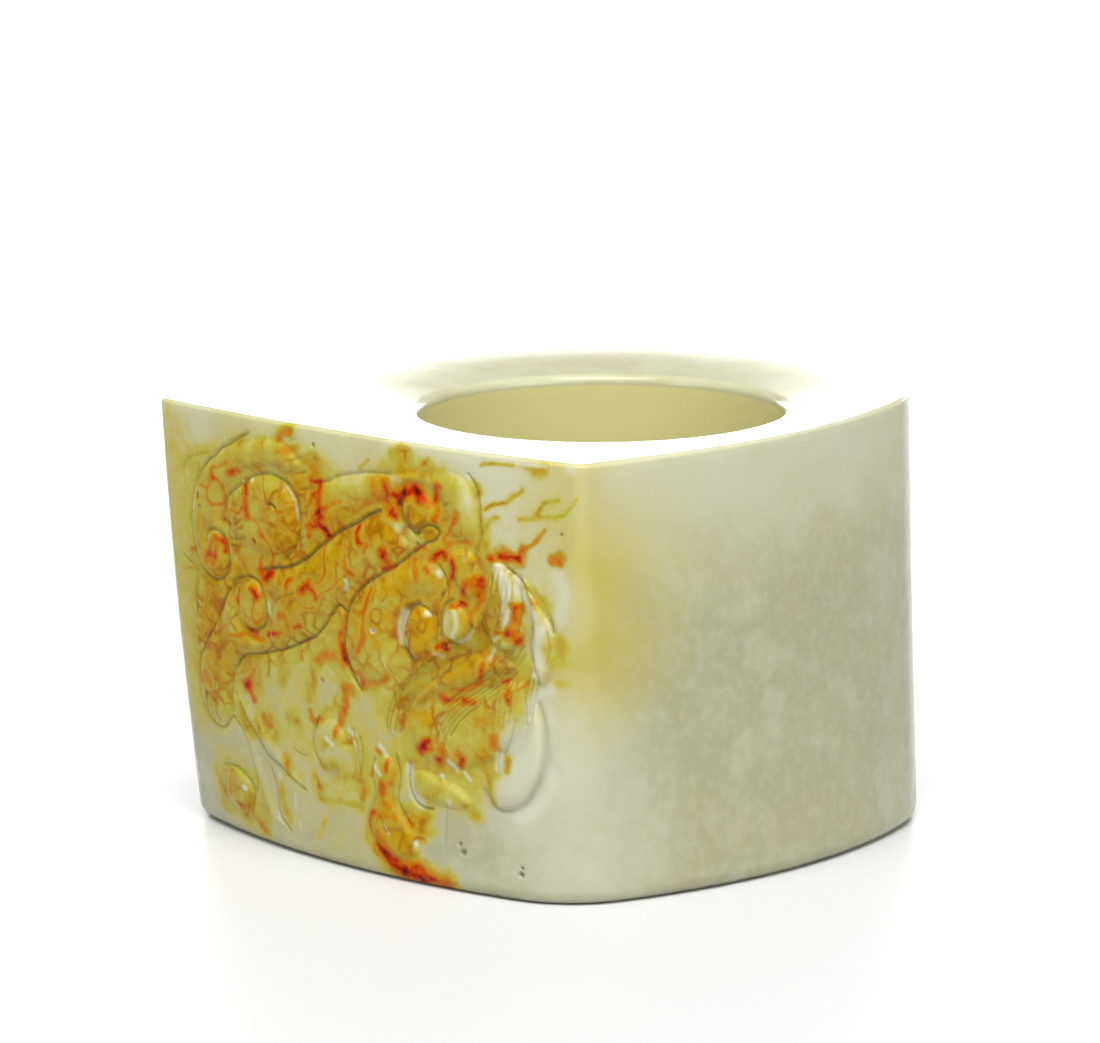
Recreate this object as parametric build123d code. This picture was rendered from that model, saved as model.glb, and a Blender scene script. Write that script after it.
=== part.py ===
from build123d import *
import os
from collections import namedtuple

# The ring stands on its flat foot with the finger hole upright along Z. The
# origin is on the axis of the hole, at the foot. The carved panel faces -Y and
# the finger pad side +Y. Every length is in millimetres.

# Driving dimensions
bore_diameter = 21.0  # finger hole, on its straight wall
ring_height = 24.8  # foot to top face
left_reach = 19.7  # hole axis to the left corner of the carved panel, along X
ridge_reach = 12.95  # hole axis to the arris at the panel's right end, along X
side_reach = 15.25  # hole axis to the widest point of the plain right flank
front_reach = 16.3  # hole axis to the panel's two corners, along Y
back_reach = 16.55  # hole axis to the back, along Y
mouth_reach = 18.0  # radius at which the top face starts to dip to the hole
mouth_dip = 0.6  # how far the top face has dipped at the rim of the hole
lip_round = 0.55  # rounding at both rims of the hole
foot_round = 0.8  # rounding of the outer edge at the foot
brow_round = 0.2  # rounding of the outer edge at the top face
relief_height = 0.35  # how far the carved forms stand above the panel
relief_root = 1.6  # how far below the panel's corners the carved forms are rooted

# Outline at three heights, the foot first. Height is a share of ring_height.
# An x on the left is a share of left_reach, the ridge's x one of ridge_reach
# and the other x shares on the right are of side_reach. Front y, bulge and
# front rounding are shares of front_reach, back y and shoulder rounding of
# back_reach.
Section = namedtuple(
    "Section",
    "height left_x left_y left_round ridge_x ridge_y ridge_round panel_bulge flank_x"
    " right_shoulder_x right_shoulder_y left_shoulder_x left_shoulder_y shoulder_round"
    " back_y left_bulge",
)
sections = [
    Section(0.0, 1.000, 0.85, 0.20, 0.970, 1.060, 0.37, 0.163, 1.085,
            0.83, 0.865, 0.70, 0.88, 0.56, 1.02, 0.11),
    Section(0.5, 0.975, 0.97, 0.10, 1.015, 1.012, 0.13, 0.112, 1.020,
            0.80, 0.925, 0.70, 0.88, 0.56, 1.01, 0.11),
    Section(1.0, 1.000, 1.00, 0.06, 1.000, 0.997, 0.05, 0.069, 1.000,
            0.79, 0.925, 0.70, 0.88, 0.56, 1.00, 0.11),
]
flank_at = 0.09  # share of front_reach in front of the hole axis where the flank is widest

# Carved forms of the coiled dragon and its clouds. Each outline is a closed
# curve through points given as percent across the panel, left corner to ridge,
# and percent up the ring, foot to top face.
carved_forms = {
    "tail_curl": [
        (33, 95.5), (26, 94.5), (20, 92), (15.5, 88.5), (12, 84), (10.2, 79), (9.6, 73),
        (10.3, 67.5), (12, 63), (15.3, 60.8), (18.3, 62.5), (19.4, 66.5), (18.2, 71.5),
        (17.6, 76), (18.2, 80.5), (20.5, 84), (24.5, 87.3), (30, 89.3), (36, 88.6), (38.5, 91.5),
    ],
    "haunch": [
        (19.6, 76), (20.2, 80.5), (23.5, 84.5), (28, 87), (33, 86.5), (36.8, 83),
        (38, 77.5), (36.8, 72), (33.5, 69), (29, 68.5), (24, 70.5), (20.6, 73),
    ],
    "hind_leg": [
        (20.8, 60), (17, 53), (13.5, 47.8), (10.8, 43), (9.9, 38), (9.4, 33), (11.3, 28.5),
        (15, 26.7), (18.2, 28.5), (18.7, 34), (20, 40), (23, 44.2), (28.5, 46.2),
        (29.5, 48.6), (26, 48.9), (22.6, 51.5), (21.3, 56),
    ],
    "knee": [
        (22.6, 56), (23.4, 60), (26.5, 62), (29.5, 59.5), (30, 55), (28.8, 51.5),
        (26, 50.4), (23.6, 52),
    ],
    "belly": [
        (31, 63.5), (36, 66.3), (41, 69.5), (45, 73), (50, 77), (55, 81), (60, 83.8),
        (62.5, 79.5), (65, 76.8), (61.5, 73), (57, 69.7), (52.6, 66), (49.6, 62),
        (47, 60.5), (44.8, 57), (41, 52.2), (35.5, 48.8), (31.3, 47.4), (31, 52), (31.6, 57),
    ],
    "neck": [
        (39.3, 71.3), (42, 73.4), (45.5, 76.6), (50, 80.2), (55, 84.2), (59.8, 87),
        (62.3, 90.3), (66, 91), (70, 89.8), (72.5, 86), (73, 82), (75.5, 79.5), (78.3, 80.5),
        (79, 85), (78, 91), (75, 94.3), (68, 93.8), (60, 92.6), (52, 91), (45, 88),
        (40.8, 85), (39.6, 80.5), (39.4, 75),
    ],
    "horn_knob": [
        (62.9, 84.5), (63.6, 88), (66.5, 89.3), (70, 87.3), (71, 83.5), (69.5, 80.8), (65.6, 80.4),
    ],
    "cheek": [
        (51.6, 60), (54, 64.5), (58, 68.3), (63, 71.8), (68, 74.3), (71.3, 72.5), (72, 69),
        (70, 66.3), (66, 65.6), (62.8, 61.5), (61.8, 56.5), (62.8, 51), (62, 47), (58, 44.5),
        (54, 45), (51.3, 49.5), (50.8, 55),
    ],
    "eye": [
        (64, 57.5), (65.3, 62), (68.2, 63.5), (70.2, 60.5), (70.4, 56), (69, 52.3),
        (66.5, 51.5), (64.6, 53.8),
    ],
    "brow": [
        (72.2, 60), (73.2, 64), (75.6, 65.4), (77.6, 62.8), (77.4, 59), (75.5, 57), (73.2, 57.3),
    ],
    "ear_tuft": [
        (73.2, 76), (76, 78), (79, 76.5), (80, 72), (79.4, 67.8), (76.8, 67.2), (75, 70), (73.6, 72.8),
    ],
    "mane_fan": [
        (83, 76.5), (86, 74.5), (88.2, 70), (89.4, 63), (88.6, 57.5), (85.6, 56.2),
        (82.4, 58), (80.4, 62), (81.2, 67), (81.8, 72),
    ],
    "mane_tongue": [
        (88.6, 73.6), (91.6, 70), (94, 66), (95.4, 60), (95, 53), (93.2, 49.5),
        (91.4, 54), (91.2, 61), (90.2, 68),
    ],
    "upper_hair": [
        (88.6, 53.4), (82, 54.8), (76, 53.4), (70, 48.8), (65, 45.5), (61.5, 41), (60.3, 35),
        (62.3, 33), (65, 38), (69.5, 42.6), (75, 46), (80, 48.6), (85, 51),
    ],
    "lower_hair": [
        (89.6, 49.6), (90, 44), (88.3, 37), (84, 31.5), (78, 28.5), (71, 28.5), (67, 31.5),
        (66.5, 36), (70.4, 40.6), (76, 43.8), (81.6, 46.4), (86.4, 49.4),
    ],
    "side_lock": [
        (92.2, 45.5), (94.3, 38), (94, 30), (91, 23.5), (86.5, 20.5), (83.4, 22),
        (83.3, 26.2), (86.4, 30.8), (89.4, 36), (91, 42),
    ],
    "cloud_knob": [
        (42.8, 30), (44.5, 33.3), (48, 33.8), (50.2, 31.3), (51.2, 27), (49.3, 22.3),
        (45.5, 21.5), (43, 25),
    ],
    "lower_plume": [
        (57, 25), (59.5, 28.5), (62, 27.5), (63.3, 23), (63, 17.5), (66.8, 12.4), (68, 8),
        (65, 4.8), (60.5, 6), (57.3, 9.5), (56.2, 14), (57.8, 19),
    ],
    "beard_lock": [
        (66.5, 25), (68.5, 26.6), (73, 25.4), (77, 24), (79.5, 21), (77, 19), (71.5, 19.4), (67.6, 20.6),
    ],
    "tail_ribbon": [
        (20.4, 28.6), (23.6, 25.8), (27, 21), (29.2, 15), (31, 9.6), (34.4, 6), (31, 6.4),
        (28, 10.8), (25.8, 16.5), (23.8, 21), (21, 25),
    ],
    "trailing_ribbon": [
        (21.2, 34.5), (23.2, 29.8), (28.2, 24.2), (34, 19.4), (39.5, 16.4), (36.4, 20.4),
        (31, 25.6), (25.5, 31),
    ],
    "low_cloud": [
        (15.5, 11.5), (17, 15.3), (20.5, 16.5), (23.6, 14), (24, 10), (22, 7), (18.5, 6.6), (16.2, 8.3),
    ],
}


def bulged_arc(start, end, bulge):
    """Arc from start to end whose middle stands bulge outside the chord."""
    chord = end - start
    outward = Vector(chord.Y, -chord.X).normalized()
    return ThreePointArc(start, (start + end) * 0.5 + outward * bulge, end)


def outline(section, lift=0.0):
    """Flat outline of the ring at one height, with the front and its corners lifted outward."""
    level = section.height * ring_height
    left = Vector(-section.left_x * left_reach - lift, -section.left_y * front_reach - lift)
    ridge = Vector(section.ridge_x * ridge_reach + lift, -section.ridge_y * front_reach - lift)
    right_shoulder = Vector(section.right_shoulder_x * side_reach, section.right_shoulder_y * back_reach)
    left_shoulder = Vector(-section.left_shoulder_x * left_reach, section.left_shoulder_y * back_reach)
    flank = Vector(section.flank_x * side_reach + lift, -flank_at * front_reach)
    back = Vector(0, section.back_y * back_reach)

    face = make_face([
        bulged_arc(left, ridge, section.panel_bulge * front_reach),
        ThreePointArc(ridge, flank, right_shoulder),
        ThreePointArc(right_shoulder, back, left_shoulder),
        bulged_arc(left_shoulder, left, section.left_bulge * front_reach),
    ])
    corner_rounds = [
        (left, section.left_round * front_reach),
        (ridge, section.ridge_round * front_reach),
        (right_shoulder, section.shoulder_round * back_reach),
        (left_shoulder, section.shoulder_round * back_reach),
    ]
    for corner, radius in corner_rounds:
        face = fillet(face.vertices().sort_by_distance(corner)[0], radius)
    return Pos(0, 0, level) * face


def blank(lift=0.0):
    """Solid block of the ring before the hole and the carving."""
    return loft([outline(section, lift) for section in sections])


def mouth_cut():
    """Material taken off the top face so that it dips like a bell to the hole."""
    rim = bore_diameter / 2
    run = mouth_reach - rim
    arc_radius = (run**2 + mouth_dip**2) / (2 * mouth_dip)
    top = Vector(mouth_reach, 0, ring_height)
    low = Vector(rim, 0, ring_height - mouth_dip)
    half_run = run / 2
    middle_drop = arc_radius - (arc_radius**2 - half_run**2) ** 0.5
    middle = Vector(rim + half_run, 0, ring_height - middle_drop)
    above = ring_height + mouth_dip
    profile = make_face([
        ThreePointArc(low, middle, top),
        Polyline(top, (mouth_reach, 0, above), (0, 0, above), (0, 0, low.Z), low),
    ])
    return revolve(profile, Axis.Z)


def carved_solid(points):
    """One raised form, rooted in the panel and long enough to pass its front."""
    span = left_reach + ridge_reach
    curve = Spline(
        [(-left_reach + across / 100 * span, up / 100 * ring_height) for across, up in points],
        periodic=True,
    )
    root = -front_reach + relief_root
    length = front_reach
    facing = Plane(origin=(0, root, 0), x_dir=(1, 0, 0), z_dir=(0, -1, 0))
    return extrude(facing * make_face(curve), length)


def thumb_ring():
    ring = blank()
    ring = fillet(ring.faces().sort_by(Axis.Z)[0].edges(), foot_round)
    ring = fillet(ring.faces().sort_by(Axis.Z)[-1].edges(), brow_round)
    ring -= Cylinder(bore_diameter / 2, ring_height, align=(Align.CENTER, Align.CENTER, Align.MIN))
    ring -= mouth_cut()
    hole_rims = ring.edges().filter_by(GeomType.CIRCLE).filter_by(
        lambda edge: abs(edge.radius - bore_diameter / 2) < lip_round / 10
    )
    ring = fillet(hole_rims, lip_round)
    carved_front = blank(relief_height)
    for points in carved_forms.values():
        ring += carved_solid(points) & carved_front
    return ring


os.makedirs("parts", exist_ok=True)
ring_solid = thumb_ring()
export_step(ring_solid, "parts/thumb_ring.step")
print("volume", round(ring_solid.volume, 1), "solids", len(ring_solid.solids()), "valid", ring_solid.is_valid)
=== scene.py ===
"""Archer's thumb ring of pale jade with a carved, russet-skinned front panel.

The ring is one piece of stone. Its blank is a parametric skin over the same
sections as the solid model; the carving of a coiled dragon among clouds is
charted in percent of the panel and lifted out of the blank by a node tree.
"""

import logging
import math
from dataclasses import dataclass
from enum import IntEnum

import bpy
import numpy as np
from mathutils import Matrix, Vector, noise


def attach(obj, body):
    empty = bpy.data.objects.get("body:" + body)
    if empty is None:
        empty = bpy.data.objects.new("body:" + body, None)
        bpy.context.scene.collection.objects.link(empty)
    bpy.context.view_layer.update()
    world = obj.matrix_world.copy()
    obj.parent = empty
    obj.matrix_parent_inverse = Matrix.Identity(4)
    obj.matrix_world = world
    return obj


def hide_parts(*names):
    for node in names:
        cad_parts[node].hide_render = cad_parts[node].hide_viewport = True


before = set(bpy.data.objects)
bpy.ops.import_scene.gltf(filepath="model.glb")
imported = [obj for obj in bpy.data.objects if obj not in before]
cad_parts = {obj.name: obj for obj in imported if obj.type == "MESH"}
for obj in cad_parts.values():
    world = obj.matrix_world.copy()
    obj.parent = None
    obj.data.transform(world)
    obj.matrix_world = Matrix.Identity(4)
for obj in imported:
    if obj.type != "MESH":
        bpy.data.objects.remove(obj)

LOG = logging.getLogger("thumb_ring")
MM = 0.001  # one millimetre in metres
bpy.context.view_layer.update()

Point = tuple[float, float]
Place = tuple[float, float, float]
Colour = tuple[float, float, float]
Circle = tuple[np.ndarray, float]
Socket = bpy.types.NodeSocket


# Shape of the blank


@dataclass(frozen=True)
class RingSection:
    """Outline of the ring at one height, as shares of the ring's reaches.

    A left x is a share of the left reach, the ridge's x one of the ridge
    reach, the other x shares on the right are of the side reach. Front y,
    bulges and front roundings are shares of the front reach, back y and
    shoulder roundings of the back reach.
    """

    height: float
    left_x: float
    left_y: float
    left_round: float
    ridge_x: float
    ridge_y: float
    ridge_round: float
    panel_bulge: float
    flank_x: float
    right_shoulder_x: float
    right_shoulder_y: float
    left_shoulder_x: float
    left_shoulder_y: float
    shoulder_round: float
    back_y: float
    left_bulge: float


def circle_through(first: np.ndarray, second: np.ndarray, third: np.ndarray) -> Circle:
    """Find the circle through three points of the plane.

    Args:
        first: a point on the circle.
        second: a point on the circle.
        third: a point on the circle.

    Returns:
        The centre and the radius.
    """
    matrix = 2 * np.array([second - first, third - first])
    squares = np.array([second @ second - first @ first, third @ third - first @ first])
    centre = np.linalg.solve(matrix, squares)
    return centre, float(np.hypot(*(first - centre)))


def rounding_circle(one: Circle, other: Circle, corner: np.ndarray, radius: float) -> np.ndarray:
    """Find the centre of the circle that rounds a corner from inside two arcs.

    Args:
        one: centre and radius of the arc that ends in the corner.
        other: centre and radius of the arc that leaves the corner.
        corner: the sharp corner.
        radius: radius of the rounding.

    Returns:
        The centre of the rounding circle.
    """
    reach_one, reach_other = one[1] - radius, other[1] - radius
    apart = float(np.hypot(*(other[0] - one[0])))
    along = (reach_one**2 - reach_other**2 + apart**2) / (2 * apart)
    aside = math.sqrt(max(reach_one**2 - along**2, 0.0))
    axis = (other[0] - one[0]) / apart
    normal = np.array([-axis[1], axis[0]])
    options = [one[0] + along * axis + sign * aside * normal for sign in (1, -1)]
    return min(options, key=lambda centre: float(np.hypot(*(centre - corner))))


def eased(share: np.ndarray) -> np.ndarray:
    """Ease a share in and out between 0 and 1."""
    return share * share * (3 - 2 * share)


class Zone(IntEnum):
    """Stretches of the ring's profile, in the order in which its rows run."""

    BORE = 0
    UPPER_LIP = 1
    TOP = 2
    BROW = 3
    WALL = 4
    FOOT_EDGE = 5
    FOOT = 6
    LOWER_LIP = 7


OUTER_SIDE = (Zone.BROW, Zone.WALL, Zone.FOOT_EDGE)
HOLE_SIDE = (Zone.BORE, Zone.UPPER_LIP, Zone.LOWER_LIP)


@dataclass(frozen=True)
class Borders:
    """Outer borders of the top face and the foot, and their bearings from the hole's axis."""

    crest: np.ndarray
    sole: np.ndarray
    crest_bearing: np.ndarray
    sole_bearing: np.ndarray

    def picked(self, part: np.ndarray) -> "Borders":
        """Keep some of the points."""
        return Borders(self.crest[part], self.sole[part], self.crest_bearing[part], self.sole_bearing[part])


@dataclass(frozen=True)
class RingBlank:
    """Smooth body of the ring before carving. Sizes are in millimetres."""

    bore_diameter: float = 21.0
    ring_height: float = 24.8
    left_reach: float = 19.7
    ridge_reach: float = 12.95
    side_reach: float = 15.25
    front_reach: float = 16.3
    back_reach: float = 16.55
    mouth_reach: float = 18.0
    mouth_dip: float = 0.6
    lip_round: float = 0.55
    foot_round: float = 0.8
    brow_round: float = 0.2
    flank_at: float = 0.09
    sections: tuple[RingSection, ...] = (
        RingSection(0.0, 1.000, 0.85, 0.20, 0.970, 1.060, 0.37, 0.163, 1.085,
                    0.83, 0.865, 0.70, 0.88, 0.56, 1.02, 0.11),
        RingSection(0.5, 0.975, 0.97, 0.10, 1.015, 1.012, 0.13, 0.112, 1.020,
                    0.80, 0.925, 0.70, 0.88, 0.56, 1.01, 0.11),
        RingSection(1.0, 1.000, 1.00, 0.06, 1.000, 0.997, 0.05, 0.069, 1.000,
                    0.79, 0.925, 0.70, 0.88, 0.56, 1.00, 0.11),
    )

    @property
    def bell_radius(self) -> float:
        """Radius of the arc in which the top face dips to the hole."""
        run = self.mouth_reach - self.bore_diameter / 2
        return (run**2 + self.mouth_dip**2) / (2 * self.mouth_dip)

    @property
    def lip_slope(self) -> float:
        """Slope at which the top face meets the upper lip, in radians."""
        return math.atan2(self.mouth_reach - self.bore_diameter / 2, self.bell_radius)

    @property
    def lip_reach(self) -> float:
        """Distance from the hole's axis to the centres of the lips' roundings."""
        return self.bore_diameter / 2 + self.lip_round

    def corner_points(self, section: RingSection) -> list[np.ndarray]:
        """Place the four sharp corners of one outline.

        Args:
            section: the outline's shares.

        Returns:
            Left corner, ridge, right shoulder and left shoulder.
        """
        shares = (
            (-section.left_x * self.left_reach, -section.left_y * self.front_reach),
            (section.ridge_x * self.ridge_reach, -section.ridge_y * self.front_reach),
            (section.right_shoulder_x * self.side_reach, section.right_shoulder_y * self.back_reach),
            (-section.left_shoulder_x * self.left_reach, section.left_shoulder_y * self.back_reach),
        )
        return [np.array(corner) for corner in shares]

    def outline_arcs(self, section: RingSection) -> np.ndarray:
        """Lay out one outline as eight arcs, each corner followed by its side.

        Args:
            section: the outline's shares.

        Returns:
            Rows of centre x, centre y, radius, start angle and end angle.
        """
        corners = self.corner_points(section)

        def bulged(start: np.ndarray, end: np.ndarray, bulge: float) -> np.ndarray:
            """Middle of a side that stands outside its chord by a share of the front reach."""
            chord = (end - start) / np.hypot(*(end - start))
            return (start + end) / 2 + np.array([chord[1], -chord[0]]) * bulge * self.front_reach

        middles = [
            bulged(corners[0], corners[1], section.panel_bulge),
            np.array([section.flank_x * self.side_reach, -self.flank_at * self.front_reach]),
            np.array([0.0, section.back_y * self.back_reach]),
            bulged(corners[3], corners[0], section.left_bulge),
        ]
        sides = [circle_through(corners[k], middles[k], corners[(k + 1) % 4]) for k in range(4)]
        radii = [
            section.left_round * self.front_reach,
            section.ridge_round * self.front_reach,
            section.shoulder_round * self.back_reach,
            section.shoulder_round * self.back_reach,
        ]
        centres = [rounding_circle(sides[k - 1], sides[k], corners[k], radii[k]) for k in range(4)]

        def angle(centre: np.ndarray, point: np.ndarray) -> float:
            """Direction from a centre to a point."""
            return math.atan2(point[1] - centre[1], point[0] - centre[0])

        rows = []
        for k in range(4):
            following = (k + 1) % 4
            before = angle(sides[k - 1][0], centres[k])
            start = angle(sides[k][0], centres[k])
            end = angle(sides[k][0], centres[following])
            rows.append((*centres[k], radii[k], before, before + (start - before) % math.tau))
            rows.append((*sides[k][0], sides[k][1], start, start + (end - start) % math.tau))
        return np.array(rows)

    def wall_points(self, column: np.ndarray, height: np.ndarray) -> np.ndarray:
        """Find points on the outer wall.

        Args:
            column: arc number plus the share of that arc, from 0 to 8.
            height: height above the foot, in millimetres.

        Returns:
            Points of the plane at those heights, one row each.
        """
        arc = np.minimum(column.astype(int), 7)
        share = column - arc
        level = height / self.ring_height
        heights = [section.height for section in self.sections]
        points = np.zeros((len(column), 2))
        for k, section in enumerate(self.sections):
            rows = self.outline_arcs(section)[arc]
            angles = rows[:, 3] + (rows[:, 4] - rows[:, 3]) * share
            weight = np.ones(len(column))
            for other in heights[:k] + heights[k + 1:]:
                weight *= (level - other) / (heights[k] - other)
            points[:, 0] += weight * (rows[:, 0] + rows[:, 2] * np.cos(angles))
            points[:, 1] += weight * (rows[:, 1] + rows[:, 2] * np.sin(angles))
        return points

    def inset_points(self, column: np.ndarray, height: np.ndarray, depth: np.ndarray | float) -> np.ndarray:
        """Find points that lie level with the outer wall, inside the stone.

        Args:
            column: arc number plus share, from 0 to 8.
            height: height above the foot, in millimetres.
            depth: distance from the wall, in millimetres.

        Returns:
            Points of the plane at those heights, one row each.
        """
        nudge = 1e-4
        ahead = self.wall_points((column + nudge) % 8, height)
        tangent = ahead - self.wall_points((column - nudge) % 8, height)
        tangent /= np.hypot(tangent[:, 0], tangent[:, 1])[:, None]
        inward = np.stack([-tangent[:, 1], tangent[:, 0]], 1)
        return self.wall_points(column, height) + inward * np.reshape(depth, (-1, 1))

    def mouth_drop(self, points: np.ndarray) -> np.ndarray:
        """How far the top face lies below its rim at points of the plane."""
        inside = np.clip(self.mouth_reach - np.hypot(points[:, 0], points[:, 1]), 0, None)
        return self.bell_radius - np.sqrt(self.bell_radius**2 - inside**2)

    def borders(self, column: np.ndarray) -> Borders:
        """Find the outer borders of the top face and the foot at every column.

        Args:
            column: arc number plus share, from 0 to 8.

        Returns:
            The borders, with bearings that run on without a jump.
        """
        full = np.full(len(column), self.ring_height)
        crest = self.inset_points(column, full, self.brow_round)
        sole = self.inset_points(column, full * 0.0, self.foot_round)
        order = np.argsort(column)
        crest_bearing = np.empty(len(column))
        crest_bearing[order] = np.unwrap(np.arctan2(crest[order, 1], crest[order, 0]))
        sole_bearing = np.arctan2(sole[:, 1], sole[:, 0])
        sole_bearing += math.tau * np.round((crest_bearing - sole_bearing) / math.tau)
        return Borders(crest, sole, crest_bearing, sole_bearing)

    def hole_side(self, kind: Zone, borders: Borders, share: np.ndarray) -> np.ndarray:
        """Find points of the hole's wall or of one of its rounded lips.

        Args:
            kind: the stretch of the profile.
            borders: the borders at the points' columns.
            share: share of the stretch, from 0 to 1.

        Returns:
            Points in millimetres.
        """
        slope, lip = self.lip_slope, self.lip_round
        upper_centre = self.ring_height - self.mouth_dip + lip * (math.tan(slope) - 1 / math.cos(slope))
        if kind is Zone.BORE:
            height = lip + (upper_centre - lip) * share
            radius = self.bore_diameter / 2
            turned = (borders.crest_bearing - borders.sole_bearing) * (height / self.ring_height)
            bearing = borders.sole_bearing + turned
        elif kind is Zone.UPPER_LIP:
            turn = (math.pi / 2 - slope) * share
            radius = self.lip_reach - lip * np.cos(turn)
            height = upper_centre + lip * np.sin(turn)
            bearing = borders.crest_bearing
        else:
            turn = math.pi / 2 * share
            radius = self.lip_reach - lip * np.sin(turn)
            height = lip * (1 - np.cos(turn))
            bearing = borders.sole_bearing
        return np.column_stack([radius * np.cos(bearing), radius * np.sin(bearing), height])

    def level_side(self, kind: Zone, borders: Borders, share: np.ndarray) -> np.ndarray:
        """Find points of the top face or of the foot.

        Args:
            kind: the stretch of the profile.
            borders: the borders at the points' columns.
            share: share of the stretch, from 0 to 1.

        Returns:
            Points in millimetres.
        """
        if kind is Zone.TOP:
            outer, bearing, run = borders.crest, borders.crest_bearing, share
            reach = self.lip_reach - self.lip_round * math.sin(self.lip_slope)
        else:
            outer, bearing, run = borders.sole, borders.sole_bearing, 1 - share
            reach = self.lip_reach
        inner = reach * np.stack([np.cos(bearing), np.sin(bearing)], 1)
        plan = inner + (outer - inner) * run[:, None]
        height = self.ring_height - self.mouth_drop(plan) if kind is Zone.TOP else np.zeros(len(share))
        return np.column_stack([plan, height])

    def outer_side(self, kind: Zone, column: np.ndarray, share: np.ndarray) -> np.ndarray:
        """Find points of the outer wall or of one of its rounded edges.

        Args:
            kind: the stretch of the profile.
            column: arc number plus share, from 0 to 8.
            share: share of the stretch, from 0 to 1.

        Returns:
            Points in millimetres.
        """
        turn = math.pi / 2 * share
        if kind is Zone.BROW:
            level = self.ring_height - self.brow_round * (1 - np.cos(turn))
            plan = self.inset_points(column, level, self.brow_round * (1 - np.sin(turn)))
            height = level - self.mouth_drop(plan) * np.cos(turn)
        elif kind is Zone.WALL:
            start = self.ring_height - self.brow_round
            height = start - (start - self.foot_round) * share
            plan = self.wall_points(column, height)
        else:
            height = self.foot_round * (1 - np.sin(turn))
            plan = self.inset_points(column, height, self.foot_round * (1 - np.cos(turn)))
        return np.column_stack([plan, height])

    def surface(self, column: np.ndarray, zone: np.ndarray, share: np.ndarray) -> np.ndarray:
        """Find points of the whole skin.

        Args:
            column: arc number plus share, from 0 to 8.
            zone: number of the profile's stretch.
            share: share of that stretch, from 0 to 1.

        Returns:
            Points in millimetres.
        """
        borders = self.borders(column)
        points = np.zeros((len(column), 3))
        for kind in Zone:
            part = zone == kind
            if kind in HOLE_SIDE:
                points[part] = self.hole_side(kind, borders.picked(part), share[part])
            elif kind in OUTER_SIDE:
                points[part] = self.outer_side(kind, column[part], share[part])
            else:
                points[part] = self.level_side(kind, borders.picked(part), share[part])
        return points


# Chart of the carving, in percent across the panel and percent up the ring


@dataclass(frozen=True)
class CarvedForm:
    """A raised form. Rise is a share of the relief; the shoulder is in millimetres."""

    outline: tuple[Point, ...]
    rise: float = 0.8
    shoulder: float = 0.7


@dataclass(frozen=True)
class Stroke:
    """A cut line. Its half width is in millimetres, depth a share of the full cut.

    The bevel is how far the cut's soft side runs out, in millimetres: to the
    left of the line's direction when positive, to the right when negative.
    """

    points: tuple[Point, ...]
    half_width: float = 0.12
    depth: float = 0.8
    bevel: float = 0.0


@dataclass(frozen=True)
class HairBundle:
    """Fine cuts that run side by side from a first guide line to a last one."""

    first: tuple[Point, ...]
    last: tuple[Point, ...]
    strands: int = 6
    half_width: float = 0.12
    depth: float = 0.35


@dataclass(frozen=True)
class Stain:
    """A streak or spot of colour. Reach is in millimetres, strength a share."""

    points: tuple[Point, ...]
    reach: float = 0.5
    strength: float = 0.7


@dataclass(frozen=True)
class SkinField:
    """A field of the stone's skin. Its soft edge is in millimetres, strength a share."""

    outline: tuple[Point, ...]
    strength: float = 1.0
    edge: float = 1.6


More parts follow.
